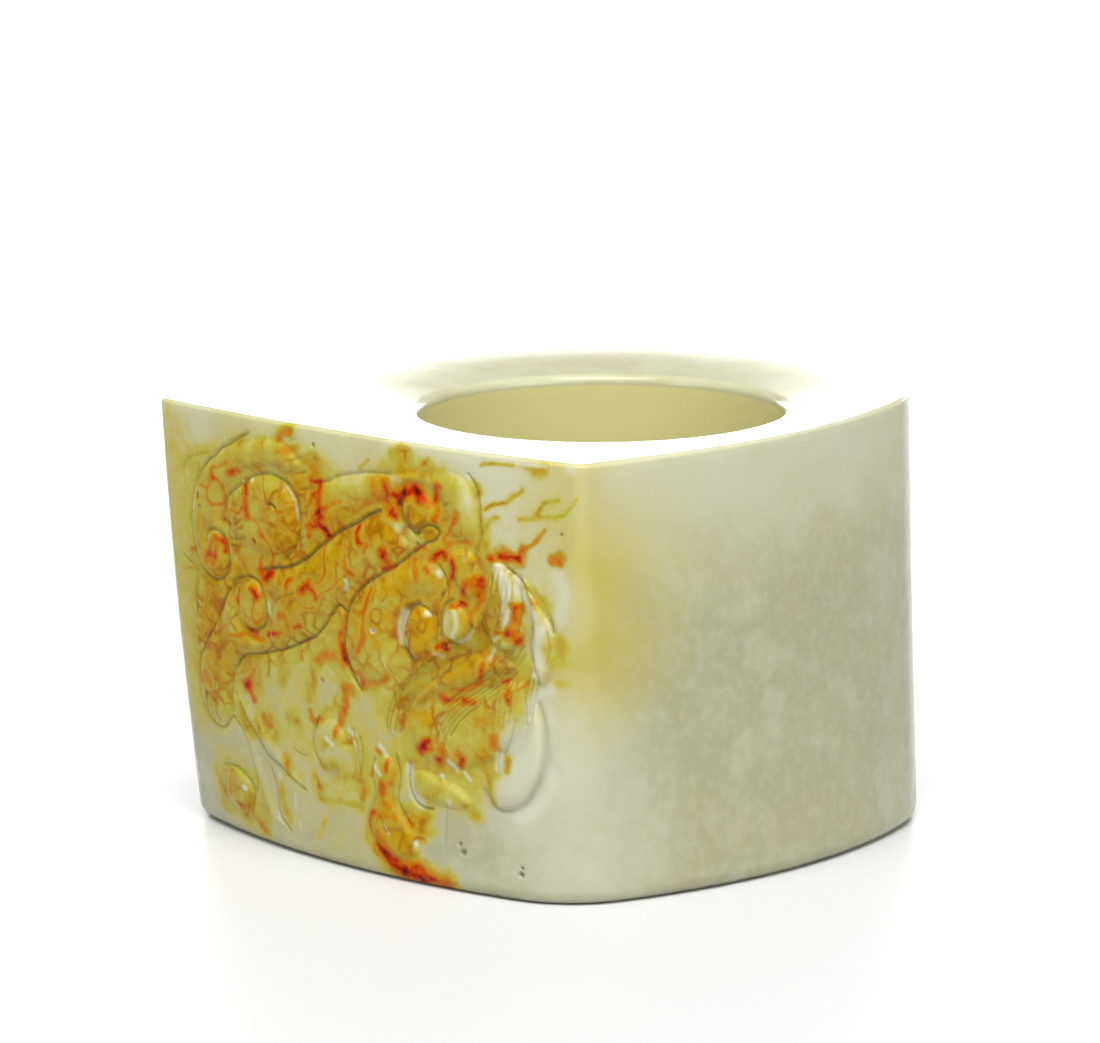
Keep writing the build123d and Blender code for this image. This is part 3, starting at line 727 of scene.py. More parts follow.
EMBERS: tuple[Stain, ...] = (
    # tail curl
    Stain(((16.2, 84.5), (16.3, 86.5), (18.5, 87.3), (20.5, 88.6)), 0.2, 0.5),
    Stain(((16.3, 84.5), (17.5, 84.4), (18.4, 83.6), (18.8, 82.8)), 0.14, 0.9),
    Stain(((21, 86.3), (21.7, 86.6)), 0.28, 0.95),
    Stain(((20.6, 86), (23, 87)), 0.3, 0.45),
    Stain(((15.3, 79), (15, 81), (15.3, 83), (16.5, 84.2)), 0.15, 0.42),
    Stain(((15.3, 79), (16.5, 78.3), (18.3, 79.2), (19, 81), (18.8, 83)), 0.15, 0.45),
    Stain(((12.6, 82), (14.8, 81.8)), 0.14, 0.4),
    Stain(((12.3, 80), (12.2, 79)), 0.2, 0.7),
    Stain(((19.3, 80), (19, 77), (18.8, 75.3)), 0.15, 0.85),
    Stain(((18.9, 74.8), (20.2, 74.4)), 0.28, 0.8),
    Stain(((14.4, 66), (15.3, 66.5)), 0.35, 0.8),
    Stain(((15, 67.5), (15.6, 70), (17, 70.7)), 0.3, 0.5),
    Stain(((16.8, 66), (17.2, 68.6)), 0.3, 0.6),
    Stain(((17.2, 70.8), (18.8, 69.5), (19.2, 67.6)), 0.28, 0.75),
    Stain(((14, 64.5), (16, 64.3)), 0.35, 0.4),
    Stain(((9.3, 65.8), (11.3, 66)), 0.25, 0.5),
    Stain(((6, 60.8), (9.8, 61.4)), 0.12, 0.35),
    Stain(((10.8, 46), (11.6, 50), (12.6, 54), (13.6, 57.5)), 0.25, 0.35),
    # haunch
    Stain(((20, 77.5), (22, 77.8), (23.8, 77.5), (24.8, 79)), 0.15, 0.45),
    Stain(((20, 76), (20.6, 73.6)), 0.3, 0.42),
    Stain(((25, 84.6), (25.2, 82), (25.3, 80), (26, 77.4)), 0.4, 0.62),
    Stain(((25, 84), (25.8, 81.4)), 0.22, 0.5),
    Stain(((26, 77), (28, 76.2), (28.7, 75)), 0.14, 0.42),
    Stain(((27, 83.5), (28.8, 84.3), (29.7, 83), (30, 81)), 0.13, 0.38),
    Stain(((33, 79.6), (35, 79.4)), 0.2, 0.45),
    Stain(((33.6, 79.5), (33.6, 77), (34.5, 75.6), (36, 75)), 0.14, 0.42),
    Stain(((35, 81.5), (37.3, 82)), 0.13, 0.42),
    Stain(((29.2, 74), (29.6, 73.2)), 0.3, 0.58),
    Stain(((29.8, 73.5), (30.8, 72.2), (31.8, 70.5), (32, 69), (31.6, 67), (31, 65.8)), 0.17, 0.5),
    Stain(((32, 69.2), (33.5, 69.6)), 0.14, 0.45),
    Stain(((29.3, 68.5), (28.8, 66.5), (29, 65)), 0.25, 0.45),
    Stain(((23.5, 67.5), (23.8, 66), (25, 64.3), (26.2, 63.6)), 0.2, 0.45),
    Stain(((27.6, 72), (27.6, 71.2)), 0.18, 0.95),
    # knee and leg
    Stain(((26.7, 60.3), (27.6, 59.6), (28.4, 58.6)), 0.35, 0.88),
    Stain(((22.2, 57), (22.8, 55.4), (24, 52.6), (25, 51)), 0.14, 0.85),
    Stain(((25.2, 50.6), (27.6, 49.9)), 0.35, 0.72),
    Stain(((27.6, 58), (27.2, 55), (27.4, 53.5), (28.5, 52.5), (29.6, 54)), 0.17, 0.48),
    Stain(((22.6, 59.5), (22.8, 57)), 0.25, 0.42),
    Stain(((30.4, 50), (31.3, 50.8), (33.4, 50.8)), 0.3, 0.95),
    Stain(((33.6, 51), (34.8, 51.8)), 0.2, 0.5),
    Stain(((20, 48), (24.5, 48.8), (29, 48.6)), 0.3, 0.42),
    Stain(((10.3, 37), (10.7, 35.8)), 0.34, 0.88),
    Stain(((12, 36.6), (13.4, 35.4)), 0.6, 0.42),
    # body
    Stain(((28.6, 64.6), (30, 64.2), (31.3, 64.6)), 0.42, 1.2),
    Stain(((29.2, 63), (30, 62.8)), 0.4, 0.8),
    Stain(((32, 61.6), (32.8, 62), (33.6, 61.4)), 0.14, 0.45),
    Stain(((35.6, 62.8), (36.3, 64), (37.3, 64.6)), 0.3, 0.58),
    Stain(((36.2, 62.6), (35.8, 60.5), (35, 59)), 0.16, 0.38),
    Stain(((39.6, 62), (40.6, 63.5), (41.6, 64.6)), 0.45, 0.82),
    Stain(((41.6, 63.6), (42.8, 62.4), (43.4, 61.3)), 0.25, 0.75),
    Stain(((43.4, 61.3), (45, 62.6), (47, 64), (49, 66.6), (50.2, 68)), 0.14, 0.45),
    Stain(((43.4, 64.5), (44.8, 65.6), (45.6, 67.6), (45.3, 70), (45.1, 73), (45.5, 75.4)), 0.2, 0.52),
    Stain(((34.2, 55.6), (35.3, 56)), 0.42, 0.78),
    Stain(((36.2, 54.5), (36.6, 52.6)), 0.3, 0.45),
    Stain(((38, 54), (39.6, 54.2)), 0.28, 0.55),
    Stain(((38, 56.8), (40, 58.2), (43, 59.2)), 0.16, 0.35),
    Stain(((43.6, 46.5), (45, 48), (47.4, 48.8)), 0.5, 0.42),
    Stain(((39.6, 48), (39.4, 46.3)), 0.25, 0.45),
    # neck
    Stain(((41.4, 91), (41.9, 89.4), (41.4, 88)), 0.4, 0.5),
    Stain(((41.6, 87.8), (43.2, 88.2)), 0.2, 0.9),
    Stain(((43.2, 88), (43.6, 86.4), (43.1, 85.2)), 0.3, 0.75),
    Stain(((42.4, 85.2), (43.8, 85)), 0.32, 1.2),
    Stain(((43.6, 84.6), (44.2, 82.5), (44, 80.8)), 0.35, 0.75),
    Stain(((44, 81), (44.6, 80.3)), 0.3, 1.1),
    Stain(((44, 80), (43.2, 79), (43.8, 78.4), (45, 77.4), (45.8, 76.2)), 0.38, 1.05),
    Stain(((41.4, 75.4), (42.4, 77.4), (43.4, 78.4)), 0.3, 0.5),
    Stain(((40.6, 77.2), (43, 78.4)), 0.3, 0.5),
    Stain(((40.2, 81.6), (41.5, 82.5), (42.5, 84.4)), 0.2, 0.45),
    Stain(((45, 82.2), (46.6, 83.6), (49, 84.4)), 0.25, 0.45),
    Stain(((46.5, 80.6), (47, 78), (47, 76.6)), 0.2, 0.38),
    Stain(((50.4, 80), (51.6, 81.5), (52, 83), (51, 84.4)), 0.14, 0.38),
    Stain(((50, 75.5), (50.2, 72.5), (50.5, 70.6)), 0.15, 0.45),
    Stain(((50.2, 70.8), (50.6, 69.2), (52, 68.4)), 0.32, 0.52),
    Stain(((53.4, 79.6), (53, 77.6), (53.6, 75.9)), 0.36, 0.78),
    Stain(((53.6, 75.8), (55.6, 75.8), (54.8, 74)), 0.18, 0.55),
    Stain(((56.6, 89.5), (57, 87)), 0.6, 0.45),
    Stain(((55, 85.5), (53, 83)), 0.4, 0.3),
    # brow
    Stain(((59.2, 90.5), (59.5, 87.6)), 0.45, 0.65),
    Stain(((59.4, 86), (59.8, 84.4), (61, 83.6)), 0.5, 0.92),
    Stain(((60, 83.4), (60.6, 83.4)), 0.3, 1.2),
    Stain(((60.8, 88), (62, 87.2), (62.2, 85.6)), 0.45, 0.92),
    Stain(((63.4, 88.6), (64.5, 90), (66, 89.6), (67, 88.2)), 0.52, 1.1),
    Stain(((63.8, 89), (65, 89.8)), 0.35, 1.4),
    Stain(((67, 87.8), (69.4, 87.3), (70.3, 88.6), (70.6, 91)), 0.38, 0.78),
    Stain(((70.6, 91.4), (71.4, 91)), 0.3, 0.5),
    Stain(((70.6, 85.6), (70.1, 83.8)), 0.28, 0.72),
    Stain(((72.1, 79.6), (73.2, 81.8), (74.2, 83.8)), 0.2, 0.65),
    Stain(((74.4, 84.4), (75.2, 86)), 0.36, 0.62),
    Stain(((72.8, 78.4), (75.5, 79.2), (78, 79.4)), 0.35, 0.35),
    # cheek
    Stain(((58.7, 75), (59.3, 74)), 0.42, 0.92),
    Stain(((59.2, 73.6), (60.4, 72)), 0.45, 0.58),
    Stain(((58.8, 70.6), (61.6, 72)), 0.22, 0.7),
    Stain(((66, 76.2), (68, 77)), 0.28, 0.58),
    Stain(((66, 74), (66.4, 71), (66.6, 69.6)), 0.32, 0.45),
    Stain(((61, 70.5), (61.6, 68.8)), 0.3, 0.32),
    Stain(((68.2, 72.2), (68.9, 71.6)), 0.3, 0.5),
    Stain(((69.2, 74.2), (70.4, 75)), 0.25, 0.55),
    Stain(((70.3, 75), (71.5, 76.1), (72.4, 75.6)), 0.38, 1.05),
    Stain(((74.6, 74.8), (75, 73.4), (74.4, 71.6)), 0.42, 0.88),
    Stain(((73.9, 71.2), (73.4, 69.6)), 0.22, 0.9),
    Stain(((73.8, 69), (73.6, 66.5)), 0.2, 0.4),
    Stain(((76.8, 68.4), (77.8, 70.2), (79.2, 70.2)), 0.42, 0.88),
    Stain(((79.4, 71.4), (80.4, 71), (80.3, 68)), 0.5, 1.12),
    Stain(((80.6, 67), (79.4, 65.2), (78.2, 63.6), (78.2, 61.4)), 0.3, 0.5),
    Stain(((74, 65), (76.2, 65.2)), 0.2, 0.65),
    Stain(((76, 66), (77, 65.4)), 0.16, 0.95),
    Stain(((56.6, 66), (56, 63.5), (55.2, 60.5), (54.9, 57.5), (54.8, 55.4)), 0.22, 0.52),
    Stain(((55.2, 54.6), (54.6, 52.6), (54, 51.4)), 0.38, 0.58),
    Stain(((52, 60), (55, 59.8)), 0.35, 0.38),
    Stain(((50.2, 59), (49.8, 56)), 0.3, 0.58),
    Stain(((49.3, 54.4), (49, 53)), 0.3, 0.78),
    Stain(((49.6, 51.4), (50, 49.4), (50.6, 48)), 0.36, 1),
    Stain(((50.6, 50.6), (51.4, 47), (53, 46)), 0.22, 0.6),
    Stain(((71.2, 54.8), (72.4, 55.4), (73.2, 55.8)), 0.3, 1.1),
    Stain(((72.6, 55), (73.3, 54.6)), 0.22, 1.3),
    Stain(((54.6, 43), (58, 44.4), (60.4, 46)), 0.4, 0.35),
    Stain(((54.4, 46), (54.8, 43.6)), 0.3, 0.42),
    # mane
    Stain(((81.9, 76.7), (83.6, 77), (84.2, 78)), 0.32, 0.98),
    Stain(((84.2, 77.2), (86, 77.8), (87.9, 77.4)), 0.34, 0.98),
    Stain(((87.9, 77.6), (88.3, 79.6)), 0.32, 0.6),
    Stain(((88.3, 79.6), (90.4, 81), (92, 82.8), (93.2, 84.6)), 0.2, 0.42),
    Stain(((94.8, 78.5), (96.6, 79.4)), 0.5, 0.42),
    Stain(((96.3, 78.2), (96.4, 77.6)), 0.2, 0.6),
    Stain(((87.4, 66.9), (88.4, 66.8)), 0.3, 0.78),
    Stain(((88, 66.4), (87.9, 62.4)), 0.38, 0.72),
    Stain(((87, 61), (88, 60.4), (88.6, 59.4)), 0.4, 1.05),
    Stain(((83.6, 60.4), (86.6, 60.4)), 0.2, 0.65),
    Stain(((91.2, 68.5), (92, 67.8)), 0.35, 0.35),
    Stain(((96.6, 59.8), (96.6, 58)), 0.6, 0.2),
    # hair
    Stain(((81.3, 52.6), (80.8, 50), (79.6, 48), (77.4, 46.4), (75, 45.6)), 0.3, 0.55),
    Stain(((81.1, 51.2), (80.6, 49.4)), 0.2, 0.5),
    Stain(((86.3, 49), (86.8, 47.4)), 0.25, 0.5),
    Stain(((85, 49.6), (86.8, 50.4)), 0.16, 0.65),
    Stain(((86.4, 46.6), (87, 45.4)), 0.32, 0.92),
    Stain(((88.4, 48), (90, 49.8)), 0.22, 0.45),
    Stain(((73, 43.4), (74.5, 43.6)), 0.42, 0.75),
    Stain(((77.4, 43.7), (79.6, 43.9)), 0.28, 0.85),
    Stain(((75, 43.6), (77.4, 43.2)), 0.4, 0.35),
    Stain(((64.6, 38.4), (64.4, 37), (63.8, 36)), 0.32, 0.58),
    Stain(((63.2, 37.2), (63.9, 35.6)), 0.2, 0.6),
    Stain(((68.1, 31.4), (69, 32.8), (70, 33.4)), 0.42, 0.92),
    Stain(((67.4, 31.6), (70.8, 32)), 0.3, 0.6),
    Stain(((73.2, 32.4), (73.6, 31.2), (72.6, 29.8)), 0.38, 0.72),
    Stain(((72.3, 29.6), (72.5, 28.6)), 0.35, 0.62),
    Stain(((76.8, 31.6), (77.6, 30.4)), 0.36, 0.62),
    Stain(((77.6, 30), (77, 28.8)), 0.28, 0.82),
    Stain(((84, 36.2), (84, 34.6)), 0.5, 0.5),
    Stain(((80.6, 40), (81.6, 40.6)), 0.6, 0.3),
    Stain(((84.8, 41), (85.2, 39.8)), 0.5, 0.28),
    Stain(((86.6, 32), (86.9, 30)), 0.5, 0.28),
    # plume
    Stain(((61, 27), (60.8, 25.2)), 0.3, 0.92),
    Stain(((60.2, 21.4), (60.2, 19.8)), 0.4, 0.75),
    Stain(((60.4, 19.4), (60.8, 17.8), (61.6, 16.8)), 0.38, 0.48),
    Stain(((58, 14.8), (57, 13.6), (56.9, 11.8)), 0.36, 0.8),
    Stain(((60, 14), (63, 14.4)), 0.6, 0.32),
    Stain(((65.8, 14.4), (66.6, 13.8)), 0.42, 0.45),
    Stain(((57, 24.4), (56.8, 23.4)), 0.3, 0.45),
    Stain(((58.6, 28.4), (57.9, 28.8)), 0.2, 0.42),
    Stain(((55, 19.4), (54.5, 17.6)), 0.35, 0.45),
    Stain(((59.4, 10), (60.4, 8.6)), 0.5, 0.42),
    Stain(((59, 6.7), (61, 6), (63.4, 4.4), (66.4, 3.4), (69, 3.2)), 0.55, 1.1),
    Stain(((61, 5.2), (63.6, 3), (66, 1.7), (69, 1.4)), 0.5, 1.05),
    Stain(((64, 3.2), (65.8, 2.6), (67.8, 2.4)), 0.4, 1.5),
    Stain(((68.6, 2.8), (71.4, 2.2), (74.4, 1.4)), 0.6, 0.65),
    # low ground
    Stain(((24, 37), (24.6, 37.4)), 0.42, 1.05),
    Stain(((22.4, 37.3), (23.6, 37)), 0.16, 0.5),
    Stain(((24.8, 36.2), (25.4, 34.6), (26.2, 33.8)), 0.34, 0.65),
    Stain(((25, 38.6), (26.2, 41)), 0.35, 0.35),
    Stain(((28.8, 30.4), (29.8, 29.2), (30.4, 29)), 0.38, 0.52),
    Stain(((50.1, 42), (51.4, 41.8)), 0.5, 0.52),
    Stain(((50.3, 41), (50.2, 38), (49.7, 35.4)), 0.36, 0.62),
    Stain(((49.6, 34.6), (49, 32.6), (48.4, 30.6)), 0.28, 0.52),
    Stain(((41.4, 34.8), (41.8, 33), (42.8, 32.6)), 0.26, 0.55),
    Stain(((42.8, 33), (43.8, 34.2), (44.4, 33.8)), 0.22, 0.55),
    Stain(((20.2, 7.6), (21.2, 7.4)), 0.36, 0.58),
    Stain(((35.2, 21), (35.8, 19.4)), 0.3, 0.45),
    Stain(((26.2, 4.4), (27.6, 3.4)), 0.32, 0.45),
    # top band
    Stain(((33, 96), (34, 97.4), (35.6, 98.4)), 0.32, 0.45),
    Stain(((33.6, 93), (35, 93.4), (36.6, 94.6)), 0.4, 0.4),
    Stain(((91, 97.4), (92.6, 97.8)), 0.4, 0.3),
)

WISPS: tuple[Stain, ...] = (
    Stain(((10.4, 46), (12, 51), (13.4, 55.5), (14.8, 60)), 1, 0.9),
    Stain(((28.8, 94), (28.2, 91), (27.8, 88.4)), 0.7, 0.85),
    Stain(((21.6, 91.4), (22.8, 93.2)), 0.7, 0.6),
    Stain(((23.6, 91), (24, 88.6)), 0.5, 0.4),
    Stain(((32, 95.6), (34, 98), (36, 99)), 0.4, 0.6),
    Stain(((33, 92.6), (35.6, 92.6), (37.4, 95)), 0.35, 0.5),
    Stain(((41.2, 92), (41.8, 89.6)), 0.7, 0.75),
    Stain(((38, 86.6), (39.5, 87.4)), 0.5, 0.4),
    Stain(((61.8, 97), (62.4, 95), (62.2, 93)), 0.7, 0.65),
    Stain(((60, 97), (64, 97.6)), 0.4, 0.45),
    Stain(((64.4, 93.2), (66, 94.8), (68.2, 96.6)), 0.19, 0.6),
    Stain(((52.6, 92.6), (54.6, 94.8)), 0.19, 0.5),
    Stain(((22.4, 31), (22.6, 28.4), (24.6, 26)), 0.6, 0.6),
    Stain(((26.2, 42), (26.6, 38)), 0.8, 0.5),
    Stain(((27, 27.4), (28.6, 28.6), (30, 29.6)), 0.9, 0.55),
    Stain(((31, 26), (33, 28.4)), 0.4, 0.3),
    Stain(((35.6, 32), (37.4, 32), (38.6, 30.6)), 0.4, 0.42),
    Stain(((45, 35), (47.4, 38), (49, 37)), 0.45, 0.4),
    Stain(((41, 38), (42.2, 42), (43, 46)), 0.6, 0.5),
    Stain(((30.4, 46), (30, 41)), 0.4, 0.4),
    Stain(((34, 40), (34.8, 42.6)), 0.5, 0.35),
    Stain(((34.4, 22), (35.6, 20)), 0.5, 0.4),
    Stain(((42.6, 19.4), (43.8, 18.2), (44.4, 16)), 0.35, 0.6),
    Stain(((44.4, 15), (50, 15.4), (54.6, 15.6)), 0.28, 0.36),
    Stain(((48.4, 20.4), (51, 21), (54, 21)), 0.5, 0.25),
    Stain(((44.4, 24), (45.6, 22.8)), 0.4, 0.4),
    Stain(((47, 24), (48.4, 23.6)), 0.4, 0.35),
    Stain(((45.6, 28), (47, 28.6)), 0.35, 0.4),
    Stain(((48.4, 30), (51.6, 29.6)), 0.35, 0.5),
    Stain(((45, 10), (44.2, 8), (43.4, 6)), 0.3, 0.28),
    Stain(((33.4, 15), (33.6, 12), (35.4, 8)), 0.45, 0.4),
    Stain(((18, 14), (18.4, 12), (19, 10.6)), 0.8, 0.55),
    Stain(((21, 6.4), (23, 7.2), (23.6, 9.6)), 0.6, 0.75),
    Stain(((12, 14), (13, 13)), 0.5, 0.3),
    Stain(((14.6, 10), (14.8, 7)), 0.8, 0.42),
    Stain(((27.8, 9), (28.4, 6.6)), 0.6, 0.35),
    Stain(((25.4, 5.2), (27, 3.6), (28.6, 3.2)), 0.4, 0.55),
    Stain(((52.8, 30.6), (54.4, 24), (55.4, 19)), 0.8, 0.35),
    Stain(((64.4, 42), (64.6, 38.5)), 0.6, 0.55),
    Stain(((66, 39.6), (68.6, 39.6)), 0.5, 0.35),
    Stain(((70.2, 34), (71, 38), (73.4, 42)), 0.9, 0.75),
    Stain(((81.2, 32.4), (83, 34)), 0.6, 0.55),
    Stain(((82, 39), (82.4, 42)), 0.7, 0.55),
    Stain(((81, 30), (82.4, 27), (84.4, 22.6)), 0.4, 0.42),
    Stain(((65.6, 28.8), (66.2, 27.6)), 0.45, 0.45),
    Stain(((69.8, 21), (71.6, 21.6), (73, 22.4)), 0.35, 0.4),
    Stain(((78.4, 20), (79.6, 19.2), (80.4, 18)), 0.45, 0.6),
    Stain(((73, 27.6), (73, 25)), 0.4, 0.42),
    Stain(((80.3, 81.6), (81.6, 84.4), (83.4, 86)), 0.17, 0.6),
    Stain(((79.8, 83), (79.4, 87), (79, 92)), 0.45, 0.32),
    Stain(((78.2, 93.2), (79.2, 91.4)), 0.4, 0.55),
    Stain(((80.8, 87.4), (82.4, 89), (85, 90), (88.4, 92.8)), 0.17, 0.6),
    Stain(((91.6, 87.6), (93, 90.6), (95.4, 91.8)), 0.17, 0.55),
    Stain(((88, 86.4), (92, 87), (96, 88), (99, 92)), 0.19, 0.4),
    Stain(((81.2, 80), (81.4, 78), (82, 77)), 0.19, 0.55),
    Stain(((96.2, 60), (97, 58), (97, 56)), 0.6, 0.42),
    Stain(((94, 58), (94.4, 55)), 0.5, 0.4),
    Stain(((96, 50.4), (98, 50.6)), 0.4, 0.25),
    Stain(((91.2, 68.6), (92.2, 67.8)), 0.45, 0.6),
    Stain(((84.6, 75), (88, 72.6), (92, 69), (95, 65)), 0.35, 0.3),
    Stain(((90.8, 97.6), (92.6, 97.8)), 0.5, 0.6),
    Stain(((79.6, 97.2), (85, 98), (92.4, 98)), 0.17, 0.5),
)

WINDOWS: tuple[Stain, ...] = (
    Stain(((11.6, 71), (11.4, 77), (13, 83), (17, 87.6), (22, 89.4), (26.4, 86.6), (28.8, 80)), 1.5, 0.55),
    Stain(((18.6, 78), (20.6, 82.6), (24, 82), (25.4, 77.6)), 1.6, 0.4),
    Stain(((28, 93), (31, 90), (33, 87)), 1.3, 0.6),
    Stain(((20, 71), (24, 73), (29, 76)), 1.2, 0.35),
    Stain(((13, 78), (16, 76.4), (17, 74.6)), 1.2, 0.45),
    Stain(((21.4, 82), (23, 83)), 0.9, 0.5),
    Stain(((16.4, 81.4), (17, 82.6)), 0.7, 0.45),
    Stain(((26, 68.4), (27.4, 67)), 0.9, 0.55),
    Stain(((24.8, 57), (25.8, 55.4)), 0.7, 0.65),
    Stain(((20, 55), (18.6, 52)), 0.8, 0.45),
    Stain(((21, 51), (23, 50.6)), 0.7, 0.4),
    Stain(((30.6, 58), (33, 57)), 0.9, 0.6),
    Stain(((31, 56), (33, 55)), 0.8, 0.5),
    Stain(((42, 57), (44, 55)), 1.2, 0.55),
    Stain(((46, 57), (48, 54)), 1, 0.55),
    Stain(((45.6, 53), (47.6, 51)), 0.8, 0.4),
    Stain(((46.6, 62), (50, 65)), 1, 0.5),
    Stain(((52, 72), (54.4, 73)), 1, 0.45),
    Stain(((56, 71.4), (57.6, 70.4)), 0.9, 0.5),
    Stain(((46, 90.4), (49, 89)), 1, 0.55),
    Stain(((50, 86.6), (53.5, 87)), 1.1, 0.4),
    Stain(((52, 93.6), (57, 93.4)), 1.2, 0.3),
    Stain(((64.6, 78.4), (67.4, 77.6)), 0.8, 0.92),
    Stain(((57, 52.4), (60, 51)), 1.2, 0.4),
    Stain(((63, 50), (64, 48)), 1.2, 0.35),
    Stain(((67.4, 69), (70.4, 67)), 1.2, 0.55),
    Stain(((72.8, 61), (74, 58)), 0.8, 0.75),
    Stain(((76.6, 61), (78, 58)), 0.9, 0.6),
    Stain(((78.4, 68.4), (78.8, 66.6)), 0.45, 0.5),
    Stain(((58, 62.4), (61, 60)), 1, 0.25),
    Stain(((74, 38), (78, 34.4)), 1.6, 0.5),
    Stain(((62, 34), (66, 31)), 1.2, 0.4),
    Stain(((76, 26), (79, 24)), 1.5, 0.35),
    Stain(((88.4, 38), (87.6, 34)), 1.2, 0.8),
    Stain(((68, 41), (66, 44)), 0.8, 0.3),
)

HALOS: tuple[Stain, ...] = (
    Stain(((100, 96), (103, 84), (103, 66), (101, 46)), 3.2, 0.7),
    Stain(((103, 96), (110, 86), (108, 62)), 4.8, 0.38),
    Stain(((92, 92), (95, 74), (95, 56)), 2.8, 0.42),
    Stain(((20, 96), (50, 95), (80, 95)), 2.0, 0.3),
    Stain(((3, 90), (4, 70), (6, 45)), 2.6, 0.15),
    Stain(((20, 4), (40, 2), (60, 1)), 1.2, 0.2),
)

# Milky patches of the stone, and painted light: the wide bands on the flank past the ridge, along its top
# and low beside it, lighten the stone where light falls.
MILK_AND_PAINTED_LIGHT: tuple[Stain, ...] = (
    Stain(((101, 32), (106, 16), (104, 6)), 4.2, 0.5),
    Stain(((95, 40), (93, 22), (97, 10)), 3, 0.45),
    Stain(((108, 99), (125, 98), (160, 99)), 4.5, 0.5),
    Stain(((84, 44), (90, 40), (91, 30), (88, 24)), 1.6, 0.3),
    Stain(((82, 93), (86, 86), (90, 76), (94, 68)), 2.4, 0.55),
    Stain(((62, 98.6), (75, 97.4), (90, 95)), 1.6, 0.4),
)

# Painted highlights, with pale worn edges among them: white glints and beads on the carving, pale lines on
# the lit side of cuts and along the top edge.
PAINTED_HIGHLIGHTS_AND_PALE_EDGES: tuple[Stain, ...] = (
    Stain(((64, 61.5), (63.2, 58.5), (63.4, 56), (64.3, 54.8)), 0.3, 0.75),
    Stain(((73.6, 62.5), (73.4, 59.4)), 0.5, 0.35),
    Stain(((75.2, 64), (75.9, 61), (75, 58)), 0.18, 0.7),
    Stain(((78.5, 60), (77.6, 58), (76, 56.8)), 0.12, 0.5),
    Stain(((83.8, 75.5), (85.4, 72), (86.3, 67), (86.2, 62.5)), 0.42, 0.8),
    Stain(((87.4, 73.2), (88.6, 70), (90, 67.6), (92, 65.2)), 0.28, 0.65),
    Stain(((95.8, 75), (97, 71), (96.4, 65)), 0.5, 0.55),
    Stain(((92.6, 61.8), (92, 58.4), (93, 54.6)), 0.48, 0.9),
    Stain(((94.6, 48.8), (92.6, 47.8), (91.2, 45.6), (91.2, 42)), 0.42, 0.75),
    Stain(((93.6, 45.5), (95, 42)), 0.4, 0.6),
    Stain(((95.4, 30), (95.2, 27), (94, 23.6), (91.4, 21), (89.2, 19.8)), 0.48, 0.85),
    Stain(((92, 21.6), (90, 19)), 0.5, 0.55),
    Stain(((88.5, 36), (90.5, 30), (89, 25)), 1.3, 0.4),
    Stain(((85, 33), (84.8, 29.6)), 0.26, 0.7),
    Stain(((65.7, 26.5), (66.2, 23.5), (66.8, 20.6), (68.6, 18.9)), 0.34, 0.7),
    Stain(((58.7, 30.4), (60.4, 28.4)), 0.16, 0.8),
    Stain(((57.8, 25.6), (59.5, 23.8)), 0.14, 0.9),
    Stain(((74.6, 29.7), (76.3, 28.2)), 0.16, 0.9),
    Stain(((77.7, 27.7), (79, 26.2)), 0.12, 0.8),
    Stain(((51.4, 32.4), (53, 31.2)), 0.2, 0.6),
    Stain(((46.2, 29.5), (47.9, 28.3)), 0.14, 0.95),
    Stain(((22.2, 12.3), (22.7, 12.2)), 0.18, 0.8),
    Stain(((32.7, 17.7), (32.9, 17.6)), 0.16, 0.95),
    Stain(((37.3, 13.8), (37.2, 11.4)), 0.2, 0.4),
    Stain(((38.2, 7.6), (38.6, 6.2)), 0.2, 0.35),
    Stain(((67.7, 9.6), (67.9, 9.2)), 0.17, 0.85),
    Stain(((58.2, 6.6), (58.4, 6.2)), 0.16, 0.9),
    Stain(((74.9, 20.3), (75, 20.1)), 0.2, 0.6),
    Stain(((59.6, 13.6), (61.8, 10.6)), 0.09, 0.6),
    Stain(((71.2, 71.9), (71.5, 71.4)), 0.2, 0.7),
    Stain(((69, 62.4), (69.4, 62.1)), 0.15, 0.7),
    Stain(((93.2, 62.7), (93.5, 62.3)), 0.2, 1),
    Stain(((91.5, 51.8), (92.2, 51.5)), 0.24, 0.8),
    Stain(((56.9, 56.5), (57.4, 56.1)), 0.14, 0.8),
    Stain(((72.9, 26.1), (73.1, 25.9)), 0.15, 0.95),
    Stain(((70.8, 53.6), (72.4, 53.3)), 0.2, 0.6),
    Stain(((83.4, 58.6), (84.6, 59.6)), 0.12, 0.6),
    Stain(((82.4, 54), (83.4, 56.6)), 0.12, 0.5),
    Stain(((22.6, 56.6), (23.6, 54.4), (24.6, 51.8)), 0.1, 0.8),
    Stain(((30.5, 57.5), (30.9, 55.6)), 0.15, 0.65),
    Stain(((12, 82.5), (11, 79.5), (10.7, 76)), 0.09, 0.5),
    Stain(((35.4, 85.3), (37.4, 82.5), (38.2, 78.5)), 0.08, 0.5),
    Stain(((20.2, 68.5), (20.4, 66)), 0.08, 0.5),
    Stain(((26.6, 85.7), (26.8, 85.5)), 0.15, 1),
    Stain(((23.9, 84.8), (24.1, 84.7)), 0.1, 0.9),
    Stain(((60.5, 91.4), (62, 91.2)), 0.26, 0.3),
    Stain(((61.4, 81.4), (62.4, 80.6)), 0.26, 0.35),
    Stain(((50.4, 67.5), (50.8, 65.8), (50.4, 64.6)), 0.14, 0.5),
    Stain(((52.6, 30), (53.4, 27), (53.2, 24)), 0.1, 0.5),
    Stain(((87, 98.7), (93, 98.8)), 0.16, 0.7),
    Stain(((71, 98.5), (77, 98.3)), 0.12, 0.6),
    Stain(((97.8, 98.8), (98.4, 98.5)), 0.26, 0.9),
)


